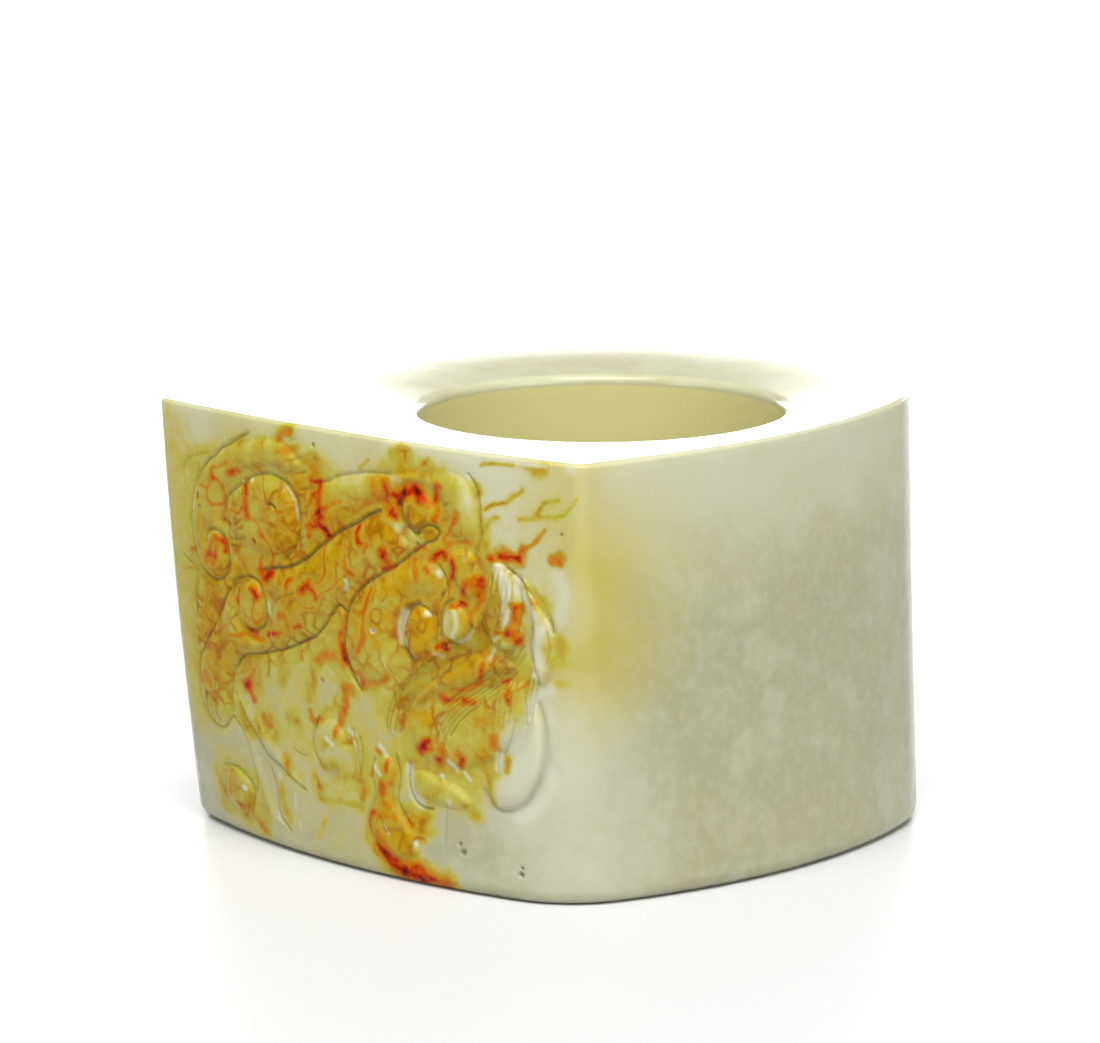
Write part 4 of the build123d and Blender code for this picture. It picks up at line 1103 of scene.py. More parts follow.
@dataclass(frozen=True)
class Fade:
    """How a stain fades away from its line. The aura is in millimetres, the rest are shares."""

    spread: float
    gain: float
    power: float
    aura: float = 0.0
    aura_gain: float = 0.22

    def strength(self, gap: np.ndarray, reach: float) -> np.ndarray:
        """Work out how strong a stain is at distances from its line.

        Args:
            gap: distances in millimetres.
            reach: the stain's charted reach, in millimetres.

        Returns:
            Shares of the stain's full strength, at times above 1.
        """
        core = reach * self.spread
        inner = np.clip(1 - gap / core, 0, 1)
        if not self.aura:
            return self.gain * eased(inner) ** self.power
        outer = np.clip(1 - gap / (core + self.aura), 0, 1)
        return np.maximum(self.gain * inner**self.power, self.aura_gain * outer)


SOFT_FADE = Fade(1.4, 1.1, 0.85)
WISP_FADE = Fade(1.25, 1.15, 1.3, 0.25)
EMBER_FADE = Fade(1.25, 1.15, 1.3, 0.4)


@dataclass(frozen=True)
class DragonPanel:
    """The carved and stained front of the ring. Sizes are in millimetres.

    Fullness is how steeply a form's shoulder starts, and pit depth a share
    of the full cut. Waves hold the size and the swing of the two noises that
    make the stains' edges ragged, and the seed fixes those noises.
    """

    blank: RingBlank
    step: float = 0.16
    fullness: float = 2.2
    pit_depth: float = 0.9
    hair_knots: int = 9
    waves: tuple[Point, ...] = ((1.5, 0.42), (0.5, 0.2))
    seed: int = 7
    fine_reach: float = 0.16
    fine_edge: float = 0.096
    fine_stain: float = 0.1
    thin_wisp: float = 0.2
    batch: int = 1500

    def place(self, points: np.ndarray) -> np.ndarray:
        """Turn chart points in percent into millimetres across and up."""
        span = self.blank.left_reach + self.blank.ridge_reach
        scale = np.array([span, self.blank.ring_height]) / 100
        return np.asarray(points, float) * scale - np.array([self.blank.left_reach, 0.0])

    def smooth(self, points: tuple[Point, ...], closed: bool = False) -> np.ndarray:
        """Run a smooth curve through charted points.

        Args:
            points: chart points in percent.
            closed: whether the curve returns to its first point.

        Returns:
            Closely spaced points in millimetres.
        """
        knots = self.place(points)
        if closed:
            knots = np.vstack([knots[-1:], knots, knots[:2]])
        else:
            knots = np.vstack([2 * knots[:1] - knots[1:2], knots, 2 * knots[-1:] - knots[-2:-1]])
        pieces = []
        for a, b, c, d in zip(knots, knots[1:], knots[2:], knots[3:]):
            count = max(2, int(np.hypot(*(c - b)) / self.step) + 1)
            t = np.arange(count)[:, None] / count
            bend = (2 * a - 5 * b + 4 * c - d) * t**2 + (3 * b - a - 3 * c + d) * t**3
            pieces.append((2 * b + (c - a) * t + bend) / 2)
        pieces.append(knots[-2][None])
        return np.vstack(pieces)

    def distances(self, spots: np.ndarray, line: np.ndarray, reach: float) -> tuple[np.ndarray, np.ndarray]:
        """Measure how far spots lie from a line.

        Args:
            spots: points across and up, in millimetres.
            line: points of the line.
            reach: distance past which the answer no longer matters.

        Returns:
            Indices of the spots near the line, and their distances, positive
            to the left of the line's direction.
        """
        low, high = line.min(0) - reach, line.max(0) + reach
        near = np.flatnonzero(((spots >= low) & (spots <= high)).all(1))
        best = np.full(len(near), np.inf)
        side = np.ones(len(near))
        start, run = line[:-1], np.diff(line, axis=0)
        length = np.maximum((run**2).sum(1), 1e-12)
        for chunk in np.array_split(np.arange(len(near)), max(1, len(near) // self.batch)):
            offset = spots[near[chunk], None] - start[None]
            share = np.clip((offset * run).sum(2) / length, 0, 1)
            squared = ((offset - share[..., None] * run) ** 2).sum(2)
            pick = squared.argmin(1)
            rows = np.arange(len(chunk))
            best[chunk] = np.sqrt(squared[rows, pick])
            cross = run[pick, 0] * offset[rows, pick, 1] - run[pick, 1] * offset[rows, pick, 0]
            side[chunk] = np.where(cross >= 0, 1.0, -1.0)
        keep = best <= reach
        return near[keep], (best * side)[keep]

    @staticmethod
    def inside(spots: np.ndarray, loop: np.ndarray) -> np.ndarray:
        """Tell which spots lie inside a closed line."""
        hit = np.zeros(len(spots), bool)
        for (x0, y0), (x1, y1) in zip(loop, loop[1:]):
            crosses = (y0 > spots[:, 1]) != (y1 > spots[:, 1])
            if crosses.any():
                at = x0 + (spots[crosses, 1] - y0) / (y1 - y0) * (x1 - x0)
                hit[crosses] ^= spots[crosses, 0] < at
        return hit

    def cut_lines(self) -> list[Stroke]:
        """List every cut line, the hair's strands among them."""
        lines = list(STROKES)
        even = np.linspace(0, 1, self.hair_knots)
        for bundle in HAIR:
            guides = []
            for guide in (bundle.first, bundle.last):
                spacing = np.linspace(0, 1, len(guide))
                guides.append(np.stack([np.interp(even, spacing, values) for values in zip(*guide)], 1))
            for number in range(bundle.strands):
                share = (number + 0.5) / bundle.strands
                trim = number % 2
                knots = (guides[0] * (1 - share) + guides[1] * share)[trim:self.hair_knots - trim]
                lines.append(Stroke(tuple(map(tuple, knots)), bundle.half_width, bundle.depth))
        return lines

    def raised(self, spots: np.ndarray) -> np.ndarray:
        """Work out how far the forms stand out of the ground.

        Args:
            spots: points across and up, in millimetres.

        Returns:
            Shares of the full relief.
        """
        rise = np.zeros(len(spots))
        for form in FORMS.values():
            loop = self.smooth(form.outline, closed=True)
            low, high = loop.min(0), loop.max(0)
            near = np.flatnonzero(((spots >= low) & (spots <= high)).all(1))
            near = near[self.inside(spots[near], loop)]
            share = np.ones(len(near))
            found, gap = self.distances(spots[near], loop, form.shoulder)
            share[found] = np.abs(gap) / form.shoulder
            rise[near] = np.maximum(rise[near], form.rise * (1 - (1 - share) ** self.fullness))
        return rise

    def cut(self, spots: np.ndarray) -> np.ndarray:
        """Work out how deep the cut lines and pits are.

        Args:
            spots: points across and up, in millimetres.

        Returns:
            Shares of the full cut.
        """
        depth = np.zeros(len(spots))
        for stroke in self.cut_lines():
            reach = max(stroke.half_width, abs(stroke.bevel))
            near, gap = self.distances(spots, self.smooth(stroke.points), reach)
            width = np.where(gap * stroke.bevel > 0, reach, stroke.half_width)
            share = np.clip(1 - np.abs(gap) / width, 0, 1)
            profile = np.where(width > stroke.half_width, share**2, eased(share))
            depth[near] = np.maximum(depth[near], stroke.depth * profile)
        for across, up, radius in PITS:
            gap = np.hypot(*(spots - self.place((across, up))).T)
            depth = np.maximum(depth, self.pit_depth * np.clip(1 - (gap / radius) ** 2, 0, 1))
        return depth

    def detailed(self, spots: np.ndarray) -> np.ndarray:
        """Tell which spots need the finest mesh.

        Args:
            spots: points across and up, in millimetres.

        Returns:
            Flags for the spots near a cut line, a form's edge, a sharp stain or a pit.
        """
        cuts, edge = self.cut_lines(), self.fine_edge
        sharp = (*EMBERS, *(wisp for wisp in WISPS if wisp.reach < self.thin_wisp))
        lines = [(self.smooth(stroke.points), stroke.half_width + self.fine_reach) for stroke in cuts]
        lines += [(self.smooth(form.outline, closed=True), edge) for form in FORMS.values()]
        lines += [(self.smooth(stain.points), stain.reach + self.fine_stain) for stain in sharp]
        flags = np.zeros(len(spots), bool)
        for line, reach in lines:
            near, _ = self.distances(spots, line, reach)
            flags[near] = True
        for across, up, radius in PITS:
            flags |= np.hypot(*(spots - self.place((across, up))).T) < radius + self.fine_reach
        return flags

    def wander(self, spots: np.ndarray) -> np.ndarray:
        """Find small shifts that give stains ragged edges when spots are moved by them.

        Args:
            spots: points across and up, in millimetres.

        Returns:
            The shifts in millimetres.
        """
        noise.seed_set(self.seed)
        shifts = np.zeros((len(spots), 2))
        for size, swing in self.waves:
            swell = [noise.noise_vector(Vector((x / size, y / size, size)))[:2] for x, y in spots]
            shifts += swing * np.array(swell).reshape(-1, 2)
        return shifts

    def covered(self, spots: np.ndarray, fields: tuple[SkinField, ...]) -> np.ndarray:
        """Lay the fields of skin over spots.

        Args:
            spots: points across and up, in millimetres.
            fields: outlined fields with soft edges.

        Returns:
            Strengths from 0 to 1.
        """
        bare = np.ones(len(spots))
        for area in fields:
            loop = self.smooth(area.outline, closed=True)
            signed = np.where(self.inside(spots, loop), area.edge, -area.edge)
            near, gap = self.distances(spots, loop, area.edge)
            signed[near] = np.copysign(gap, signed[near])
            share = np.clip(0.5 + signed / (2 * area.edge), 0, 1)
            bare *= 1 - area.strength * eased(share)
        return 1 - bare

    def stained(self, spots: np.ndarray, stains: tuple[Stain, ...], fade: Fade = SOFT_FADE) -> np.ndarray:
        """Spread a chart of stains over spots.

        Args:
            spots: points across and up, in millimetres.
            stains: the streaks and spots.
            fade: how the stains fade away from their lines.

        Returns:
            Strengths from 0 to 1.
        """
        clear = np.ones(len(spots))
        for stain in stains:
            reach = stain.reach * fade.spread + fade.aura
            near, gap = self.distances(spots, self.smooth(stain.points), reach)
            clear[near] *= 1 - np.clip(stain.strength * fade.strength(np.abs(gap), stain.reach), 0, 1)
        return 1 - clear


# Mesh of the ring


@dataclass(frozen=True)
class RingSkin:
    """Closed mesh over the blank, finest on the panel near the carving.

    Columns are the coarse cells of each arc of the outline. A row of the
    profile says into how many coarse rows a stretch is divided, and the
    share of it that a narrow row at each of its ends takes. Levels count how
    often a coarse cell is halved.
    """

    blank: RingBlank
    panel: DragonPanel
    columns: tuple[int, ...] = (3, 46, 4, 30, 11, 20, 11, 26)
    panel_arcs: int = 3
    skirt: int = 3
    profile: tuple[tuple[Zone, int, float], ...] = (
        (Zone.BORE, 22, 0.01),
        (Zone.UPPER_LIP, 4, 0.0),
        (Zone.TOP, 10, 0.03),
        (Zone.BROW, 1, 0.0),
        (Zone.WALL, 36, 0.007),
        (Zone.FOOT_EDGE, 3, 0.0),
        (Zone.FOOT, 7, 0.03),
        (Zone.LOWER_LIP, 3, 0.0),
    )
    finest_level: int = 3
    panel_level: int = 2

    @property
    def fine(self) -> int:
        """Number of the finest cells along a coarse one."""
        return 2**self.finest_level

    def rows(self) -> tuple[np.ndarray, np.ndarray, np.ndarray]:
        """List the rows of the coarse grid.

        Returns:
            Zone number, lower share and upper share of each row.
        """
        rows = []
        for kind, count, margin in self.profile:
            shares = np.linspace(0, 1, count + 1)
            if margin:
                shares[1:-1] = np.linspace(margin, 1 - margin, count - 1)
            rows += [(kind, start, end) for start, end in zip(shares, shares[1:])]
        zones, lower, upper = zip(*rows)
        return np.array(zones), np.array(lower), np.array(upper)

    def locate(self, across: np.ndarray, down: np.ndarray) -> tuple[np.ndarray, np.ndarray]:
        """Find skin points from positions on the finest grid.

        Args:
            across: column numbers of the finest grid.
            down: row numbers of the finest grid.

        Returns:
            Points in millimetres, and the number of the zone of each.
        """
        starts = np.concatenate([[0], np.cumsum(self.columns)])
        column = np.interp(across / self.fine, starts, np.arange(len(starts)))
        zones, lower, upper = self.rows()
        row = np.minimum((down // self.fine).astype(int), len(zones) - 1)
        share = lower[row] + (upper[row] - lower[row]) * (down / self.fine - row)
        return self.blank.surface(column, zones[row], share), zones[row]

    def level(self, column: int, zone: int, following: int) -> int:
        """Tell how often a coarse cell is halved, before the panel's finest cells.

        Args:
            column: number of the cell's coarse column.
            zone: the cell's zone.
            following: zone of the cell two rows further on.

        Returns:
            The cell's level.
        """
        panel, total = sum(self.columns[:self.panel_arcs]), sum(self.columns)
        beside = column < panel + self.skirt or column >= total - self.skirt
        if zone in OUTER_SIDE and column < panel:
            return self.panel_level
        if zone in OUTER_SIDE and beside or zone in (Zone.UPPER_LIP, Zone.BROW):
            return 1
        return int(zone == Zone.TOP and following != Zone.TOP and column < panel)

    def cells(self) -> np.ndarray:
        """Divide the skin into square cells.

        Returns:
            Rows of column, row and size on the finest grid.
        """
        fine = self.fine
        zones = self.rows()[0].tolist()
        cells = []
        for i in range(sum(self.columns)):
            for j, (zone, following) in enumerate(zip(zones, zones[2:] + zones[:2])):
                size = fine >> self.level(i, zone, following)
                steps = range(0, fine, size)
                cells += [(i * fine + a, j * fine + b, size) for a in steps for b in steps]
        cells = np.array(cells)
        size = fine >> self.panel_level
        picked = np.flatnonzero(cells[:, 2] == size)
        points, _ = self.locate(cells[picked, 0] + size / 2, cells[picked, 1] + size / 2)
        split = picked[self.panel.detailed(points[:, [0, 2]])]
        half = size // 2
        finer = [cells[split] + (a, b, half - size) for a in (0, half) for b in (0, half)]
        return np.vstack([np.delete(cells, split, axis=0), *finer])

    def mesh(self, name: str) -> tuple[bpy.types.Mesh, np.ndarray]:
        """Build the closed mesh of the blank.

        Args:
            name: name of the mesh.

        Returns:
            The mesh in metres, and the number of the zone of each vertex.
        """
        width = sum(self.columns) * self.fine
        depth = len(self.rows()[0]) * self.fine
        cells = self.cells()
        used = np.zeros((width + 1, depth + 1), bool)
        left, top, size = cells.T
        for a in (0, 1):
            for b in (0, 1):
                used[(left + a * size) % width, (top + b * size) % depth] = True
        used[width], used[:, depth] = used[0], used[:, 0]
        number = np.full(used.shape, -1)
        across, down = np.nonzero(used[:width, :depth])
        number[across, down] = np.arange(len(across))
        number[width], number[:, depth] = number[0], number[:, 0]
        faces: list[list[int]] = []
        hubs: list[Point] = []
        for x, y, size in cells.tolist():
            ring = [number[x, y + k] for k in range(size)]
            ring += [number[x + k, y + size] for k in range(size)]
            ring += [number[x + size, y + size - k] for k in range(size)]
            ring += [number[x + size - k, y] for k in range(size)]
            ring = [int(n) for n in ring if n >= 0]
            if len(ring) == 4:
                faces.append(ring)
                continue
            hub = len(across) + len(hubs)
            hubs.append((x + size / 2, y + size / 2))
            faces += [[hub, a, b] for a, b in zip(ring, ring[1:] + ring[:1])]
        middles = np.array(hubs).reshape(-1, 2)
        points, zone = self.locate(np.append(across, middles[:, 0]), np.append(down, middles[:, 1]))
        mesh = bpy.data.meshes.new(name)
        mesh.from_pydata((points * MM).tolist(), [], faces)
        mesh.validate()
        mesh.update()
        return mesh, zone


# Node trees


@dataclass(frozen=True)
class Pattern:
    """A cloudy noise. Its scale is in waves per metre."""

    scale: float
    detail: float = 2.0
    roughness: float = 0.5


@dataclass(frozen=True)
class Layer:
    """A colour that sets in between two levels, up to a share of full cover."""

    colour: Colour
    low: float
    high: float
    cover: float = 1.0


class NodeDesk:
    """Adds and joins nodes of one tree."""

    def __init__(self, tree: bpy.types.NodeTree) -> None:
        """Keep the tree that is written to."""
        self.tree = tree

    def add(self, kind: str, label: str = "", **settings: object) -> bpy.types.Node:
        """Add a node.

        Args:
            kind: the node's type.
            label: words shown on the node.
            settings: properties of the node.

        Returns:
            The node.
        """
        node = self.tree.nodes.new(kind)
        node.label = label
        for key, value in settings.items():
            setattr(node, key, value)
        return node

    def feed(self, socket: Socket, value: object) -> None:
        """Join another socket to a socket, or set its value."""
        if isinstance(value, bpy.types.NodeSocket):
            self.tree.links.new(value, socket)
        elif isinstance(value, tuple) and len(value) == 3 and socket.type == "RGBA":
            socket.default_value = (*value, 1.0)
        else:
            socket.default_value = value

    def math(self, operation: str, *values: object, clamp: bool = False) -> Socket:
        """Add a sum of numbers and return its result."""
        node = self.add("ShaderNodeMath", operation=operation, use_clamp=clamp)
        for socket, value in zip(node.inputs, values):
            self.feed(socket, value)
        return node.outputs[0]

    def ramp(self, value: object, low: float, high: float, start: float = 0.0, end: float = 1.0) -> Socket:
        """Ease a number from one range to another.

        Args:
            value: the number or its socket.
            low: where the ease begins.
            high: where it ends.
            start: result below low.
            end: result above high.

        Returns:
            The result's socket.
        """
        node = self.add("ShaderNodeMapRange", interpolation_type="SMOOTHSTEP")
        for socket, item in zip(node.inputs, (value, low, high, start, end)):
            self.feed(socket, item)
        return node.outputs[0]

    def mix(self, share: object, first: object, second: object) -> Socket:
        """Mix two colours.

        Args:
            share: how much of the second colour there is.
            first: a colour or its socket.
            second: a colour or its socket.

        Returns:
            The mixed colour's socket.
        """
        node = self.add("ShaderNodeMix", data_type="RGBA", blend_type="MIX", clamp_factor=True)
        self.feed(node.inputs[0], share)
        self.feed(node.inputs[6], first)
        self.feed(node.inputs[7], second)
        return node.outputs[2]

    def noise(self, vector: object, pattern: Pattern, coloured: bool = False) -> Socket:
        """Add a cloudy pattern and return its value, or its colour."""
        node = self.add("ShaderNodeTexNoise")
        self.feed(node.inputs["Vector"], vector)
        node.inputs["Scale"].default_value = pattern.scale
        node.inputs["Detail"].default_value = pattern.detail
        node.inputs["Roughness"].default_value = pattern.roughness
        return node.outputs["Color"] if coloured else node.outputs[0]

    def swell(self, vector: object, pattern: Pattern) -> Socket:
        """Add a cloudy pattern that swings about zero."""
        return self.math("SUBTRACT", self.noise(vector, pattern), 0.5)

    def where(self, chart: Socket, pattern: Socket, low: float, high: float, least: float = 0.0) -> Socket:
        """Thin a chart out.

        Args:
            chart: the chart's socket.
            pattern: the number that decides where.
            low: where only the least share is left.
            high: where the whole chart is left.
            least: the least share.

        Returns:
            The thinned chart's socket.
        """
        return self.math("MULTIPLY", chart, self.ramp(pattern, low, high, least))

    def coat(self, ground: object, level: Socket, *layers: Layer) -> Socket:
        """Lay colours over a ground where a level has reached them.

        Args:
            ground: a colour or its socket.
            level: the level that the layers are set against.
            layers: the colours, the first one undermost.

        Returns:
            The covered colour's socket.
        """
        for layer in layers:
            cover = self.ramp(level, layer.low, layer.high, end=layer.cover)
            ground = self.mix(cover, ground, layer.colour)
        return ground


@dataclass(frozen=True)
class CarvingLift:
    """Node tree that lifts the carving out of the blank along its normals. Sizes are in millimetres."""

    relief: float = 0.26
    cut: float = 0.2
    ripple: float = 0.02
    ripple_size: float = 3.2
    seed: int = 7

    @staticmethod
    def group() -> bpy.types.NodeTree:
        """Make an empty geometry node group with named inputs."""
        group = bpy.data.node_groups.new("Lift carving", "GeometryNodeTree")
        face = group.interface
        face.new_socket("Blank", in_out="INPUT", socket_type="NodeSocketGeometry")
        for name in ("Relief height", "Cut depth", "Ripple depth", "Ripple size"):
            face.new_socket(name, in_out="INPUT", socket_type="NodeSocketFloat")
        face.new_socket("Seed", in_out="INPUT", socket_type="NodeSocketInt")
        face.new_socket("Stone", in_out="INPUT", socket_type="NodeSocketMaterial")
        face.new_socket("Carved ring", in_out="OUTPUT", socket_type="NodeSocketGeometry")
        return group

    @staticmethod
    def height(desk: NodeDesk, source: bpy.types.Node) -> Socket:
        """Work out how far each vertex moves out of the blank.

        Args:
            desk: writes to the group.
            source: the group's input node.

        Returns:
            The height's socket. The ripple only goes inwards.
        """
        def attribute(name: str) -> Socket:
            """Read a number stored on the vertices."""
            node = desk.add("GeometryNodeInputNamedAttribute", data_type="FLOAT")
            node.inputs["Name"].default_value = name
            return node.outputs["Attribute"]

        wave = desk.add("ShaderNodeTexNoise", noise_dimensions="4D")
        desk.feed(wave.inputs["Vector"], desk.add("GeometryNodeInputPosition").outputs[0])
        desk.feed(wave.inputs["W"], source.outputs["Seed"])
        desk.feed(wave.inputs["Scale"], desk.math("DIVIDE", 1.0, source.outputs["Ripple size"]))
        wave.inputs["Detail"].default_value = 1.0
        inward = desk.math("SUBTRACT", wave.outputs[0], 1.0)
        swing = desk.math("MULTIPLY", inward, source.outputs["Ripple depth"])
        swing = desk.math("MULTIPLY", swing, attribute("loose"))
        rise = desk.math("MULTIPLY", attribute("rise"), source.outputs["Relief height"])
        sink = desk.math("MULTIPLY", attribute("cut"), source.outputs["Cut depth"])
        return desk.math("ADD", desk.math("SUBTRACT", rise, sink), swing)

    def tree(self) -> bpy.types.NodeTree:
        """Build the tree.

        Returns:
            A geometry node group with named inputs for its sizes.
        """
        group = self.group()
        desk = NodeDesk(group)
        source = desk.add("NodeGroupInput")
        scale = desk.add("ShaderNodeVectorMath", operation="SCALE")
        desk.feed(scale.inputs[0], desk.add("GeometryNodeInputNormal").outputs[0])
        desk.feed(scale.inputs["Scale"], self.height(desk, source))
        move = desk.add("GeometryNodeSetPosition")
        desk.feed(move.inputs["Geometry"], source.outputs["Blank"])
        desk.feed(move.inputs["Offset"], scale.outputs[0])
        shade = desk.add("GeometryNodeSetShadeSmooth")
        desk.feed(shade.inputs["Geometry"], move.outputs[0])
        real = desk.add("GeometryNodeRealizeInstances")
        desk.feed(real.inputs["Geometry"], shade.outputs[0])
        dress = desk.add("GeometryNodeSetMaterial")
        desk.feed(dress.inputs["Geometry"], real.outputs[0])
        desk.feed(dress.inputs["Material"], source.outputs["Stone"])
        desk.feed(desk.add("NodeGroupOutput").inputs[0], dress.outputs[0])
        return group

    def carve(self, blank: bpy.types.Object, stone: bpy.types.Material) -> bpy.types.Mesh:
        """Lift the carving and return the finished mesh.

        Args:
            blank: the ring's blank, with its charts stored on the vertices.
            stone: the ring's material.

        Returns:
            A plain mesh.
        """
        modifier = blank.modifiers.new("Lift carving", "NODES")
        modifier.node_group = self.tree()
        sizes = {
            "Relief height": self.relief * MM,
            "Cut depth": self.cut * MM,
            "Ripple depth": self.ripple * MM,
            "Ripple size": self.ripple_size * MM,
            "Seed": self.seed,
            "Stone": stone,
        }
        for item in modifier.node_group.interface.items_tree:
            if item.in_out == "INPUT" and item.name in sizes:
                modifier[item.identifier] = sizes[item.name]
        graph = bpy.context.evaluated_depsgraph_get()
        carved = bpy.data.meshes.new_from_object(
            blank.evaluated_get(graph), preserve_all_data_layers=True, depsgraph=graph
        )
        blank.modifiers.remove(modifier)
        return carved


# Finishes


@dataclass(frozen=True)
class StoneSources:
    """Sockets that the stone's coats share: places, patterns and charts."""

    place: Socket
    bent: Socket
    broad: Socket
    medium: Socket
    fine: Socket
    charts: dict[str, Socket]


@dataclass(frozen=True)
class JadeFinish:
    """Pale grey-green jade with its ochre and russet skin on the carved panel. Sizes are in millimetres."""

    body: Colour = (0.45, 0.45, 0.285)
    body_low: Colour = (0.333, 0.337, 0.2)
    # Milky tone of the stone; also the colour of painted light on the flank and of painted highlights.
    beige: Colour = (0.38, 0.345, 0.195)
    milk_and_painted_light: Colour = (0.50, 0.505, 0.375)
    halo: Colour = (0.42, 0.365, 0.055)
    olive: Colour = (0.365, 0.32, 0.034)
    gold: Colour = (0.40, 0.24, 0.0015)
    umber: Colour = (0.285, 0.14, 0.001)
    vein: Colour = (0.3, 0.092, 0.001)
    ochre: Colour = (0.40, 0.19, 0.001)
    amber: Colour = (0.42, 0.11, 0.001)
    russet: Colour = (0.37, 0.024, 0.0)
    dark: Colour = (0.10, 0.005, 0.0)
    # Colour of the darkened cuts, laid by their depth.
    cut_dark: Colour = (0.13, 0.115, 0.025)
    # Painted light: the hole's wall is lighter and yellower than the body, standing in for light shining
    # through the stone.
    painted_bore_light: Colour = (0.57, 0.54, 0.25)
    broad: Pattern = Pattern(110.0)
    clouds: Pattern = Pattern(190.0, roughness=0.55)
    medium: Pattern = Pattern(420.0, roughness=0.6)
    fine: Pattern = Pattern(1500.0, 1.0)
    warp: Pattern = Pattern(900.0, 1.0)
    winding: Pattern = Pattern(360.0, 1.0)
    clumps: Pattern = Pattern(420.0, 3.0, 0.65)
    grain: Pattern = Pattern(1900.0, 1.0)
    scorch: Pattern = Pattern(1200.0, roughness=0.6)
    body_levels: Point = (13.5, 23.5)
    body_swing: float = 6.0
    warp_reach: float = 1.1
    cell_size: float = 1.05
    cell_border: float = 0.2
    thread_width: float = 0.045
    clump_swing: float = 1.9
    grain_swing: float = 1.3
    vein_cover: float = 0.85
    cut_dark_cover: float = 0.75
    ember_core: float = 0.85
    ember_net: float = 0.3
    ember_swing: float = 2.0
    refraction: float = 1.6
    gloss: float = 0.24
    least_gloss: float = 0.03
    glow: float = 0.4
    glow_colours: Colour = (1.0, 0.95, 0.6)
    glow_reach: float = 1.6
    roughness: float = 0.2
    rough_swing: float = 0.05
    bump_strength: float = 0.2
    bump_height: float = 0.015
    vein_dent: float = 0.6

    def sources(self, desk: NodeDesk) -> StoneSources:
        """Lay out the places, patterns and charts of the stone.

        Args:
            desk: writes to the material's tree.

        Returns:
            The sockets that the coats share.
        """
        def chart(name: str) -> Socket:
            """Read a chart stored on the vertices."""
            return desk.add("ShaderNodeAttribute", name, attribute_name=name).outputs["Fac"]

        place = desk.add("ShaderNodeTexCoord").outputs["Object"]
        bend = desk.add("ShaderNodeVectorMath", operation="MULTIPLY_ADD")
        desk.feed(bend.inputs[0], desk.noise(place, self.warp, coloured=True))
        bend.inputs[1].default_value = (self.warp_reach * MM,) * 3
        desk.feed(bend.inputs[2], place)
        broad, medium, fine = (desk.noise(place, kind) for kind in (self.broad, self.medium, self.fine))
        charts = {name: chart(name) for name in ("skin", "halo", "ember", "cut_dark", "milk_and_painted_light", "pale", "bore")}
        return StoneSources(place, bend.outputs[0], broad, medium, fine, charts)

    def patches(self, desk: NodeDesk, seen: StoneSources, ground: Socket, name: str) -> Socket:
        """Lay a chart in the milky colour over a ground, a little unevenly: milky patches with painted
        light, and painted highlights with pale edges.
        """
        share = desk.where(seen.charts[name], seen.medium, low=0.2, high=0.6, least=0.65)
        return desk.mix(share, ground, self.milk_and_painted_light)

    def ground(self, desk: NodeDesk, seen: StoneSources) -> Socket:
        """Colour the bare stone: body, clouds, hole, halo and milky patches. The hole's colour is painted
        light, and the milky patches hold painted light on the flank.

        Args:
            desk: writes to the material's tree.
            seen: the shared sockets.

        Returns:
            The colour's socket.
        """
        height = desk.add("ShaderNodeSeparateXYZ")
        desk.feed(height.inputs[0], seen.place)
        clouds = desk.noise(seen.place, self.clouds)
        shift = desk.math("SUBTRACT", seen.broad, 0.5)
        lift = desk.math("MULTIPLY_ADD", shift, self.body_swing * MM, height.outputs["Z"])
        low, high = self.body_levels
        colour = desk.mix(desk.ramp(lift, low * MM, high * MM), self.body_low, self.body)
        colour = desk.coat(colour, clouds, Layer(self.beige, 0.5, 0.62, 0.36))
        colour = desk.coat(colour, clouds, Layer(self.milk_and_painted_light, 0.48, 0.36, 0.24))
        colour = desk.coat(colour, seen.medium, Layer(self.milk_and_painted_light, 0.45, 0.75, 0.18))
        colour = desk.coat(colour, seen.fine, Layer(self.milk_and_painted_light, 0.42, 0.68, 0.16))
        # Painted light: the hole's wall takes its lighter, yellower colour.
        colour = desk.mix(seen.charts["bore"], colour, self.painted_bore_light)
        halo = desk.where(seen.charts["halo"], seen.broad, low=0.3, high=0.7, least=0.7)
        # Milky patches, with painted light on the flank past the ridge.
        return self.patches(desk, seen, desk.mix(halo, colour, self.halo), "milk_and_painted_light")

    def net(self, desk: NodeDesk, seen: StoneSources) -> Socket:
        """Draw the skin's net.

        Args:
            desk: writes to the material's tree.
            seen: the shared sockets.

        Returns:
            The net's socket: winding threads in some places, crooked borders of cells in the others.
        """
        swell = desk.math("ABSOLUTE", desk.swell(seen.bent, self.winding))
        threads = desk.ramp(swell, 0.0, self.thread_width, 1.0, 0.0)
        cells = desk.add("ShaderNodeTexVoronoi", feature="DISTANCE_TO_EDGE")
        desk.feed(cells.inputs["Vector"], seen.bent)
        cells.inputs["Scale"].default_value = 1.0 / (self.cell_size * MM)
        borders = desk.ramp(cells.outputs["Distance"], 0.0, self.cell_border, 1.0, 0.0)
        return desk.math(
            "MAXIMUM",
            desk.where(threads, seen.medium, low=0.4, high=0.58),
            desk.where(borders, seen.medium, low=0.56, high=0.42),
        )

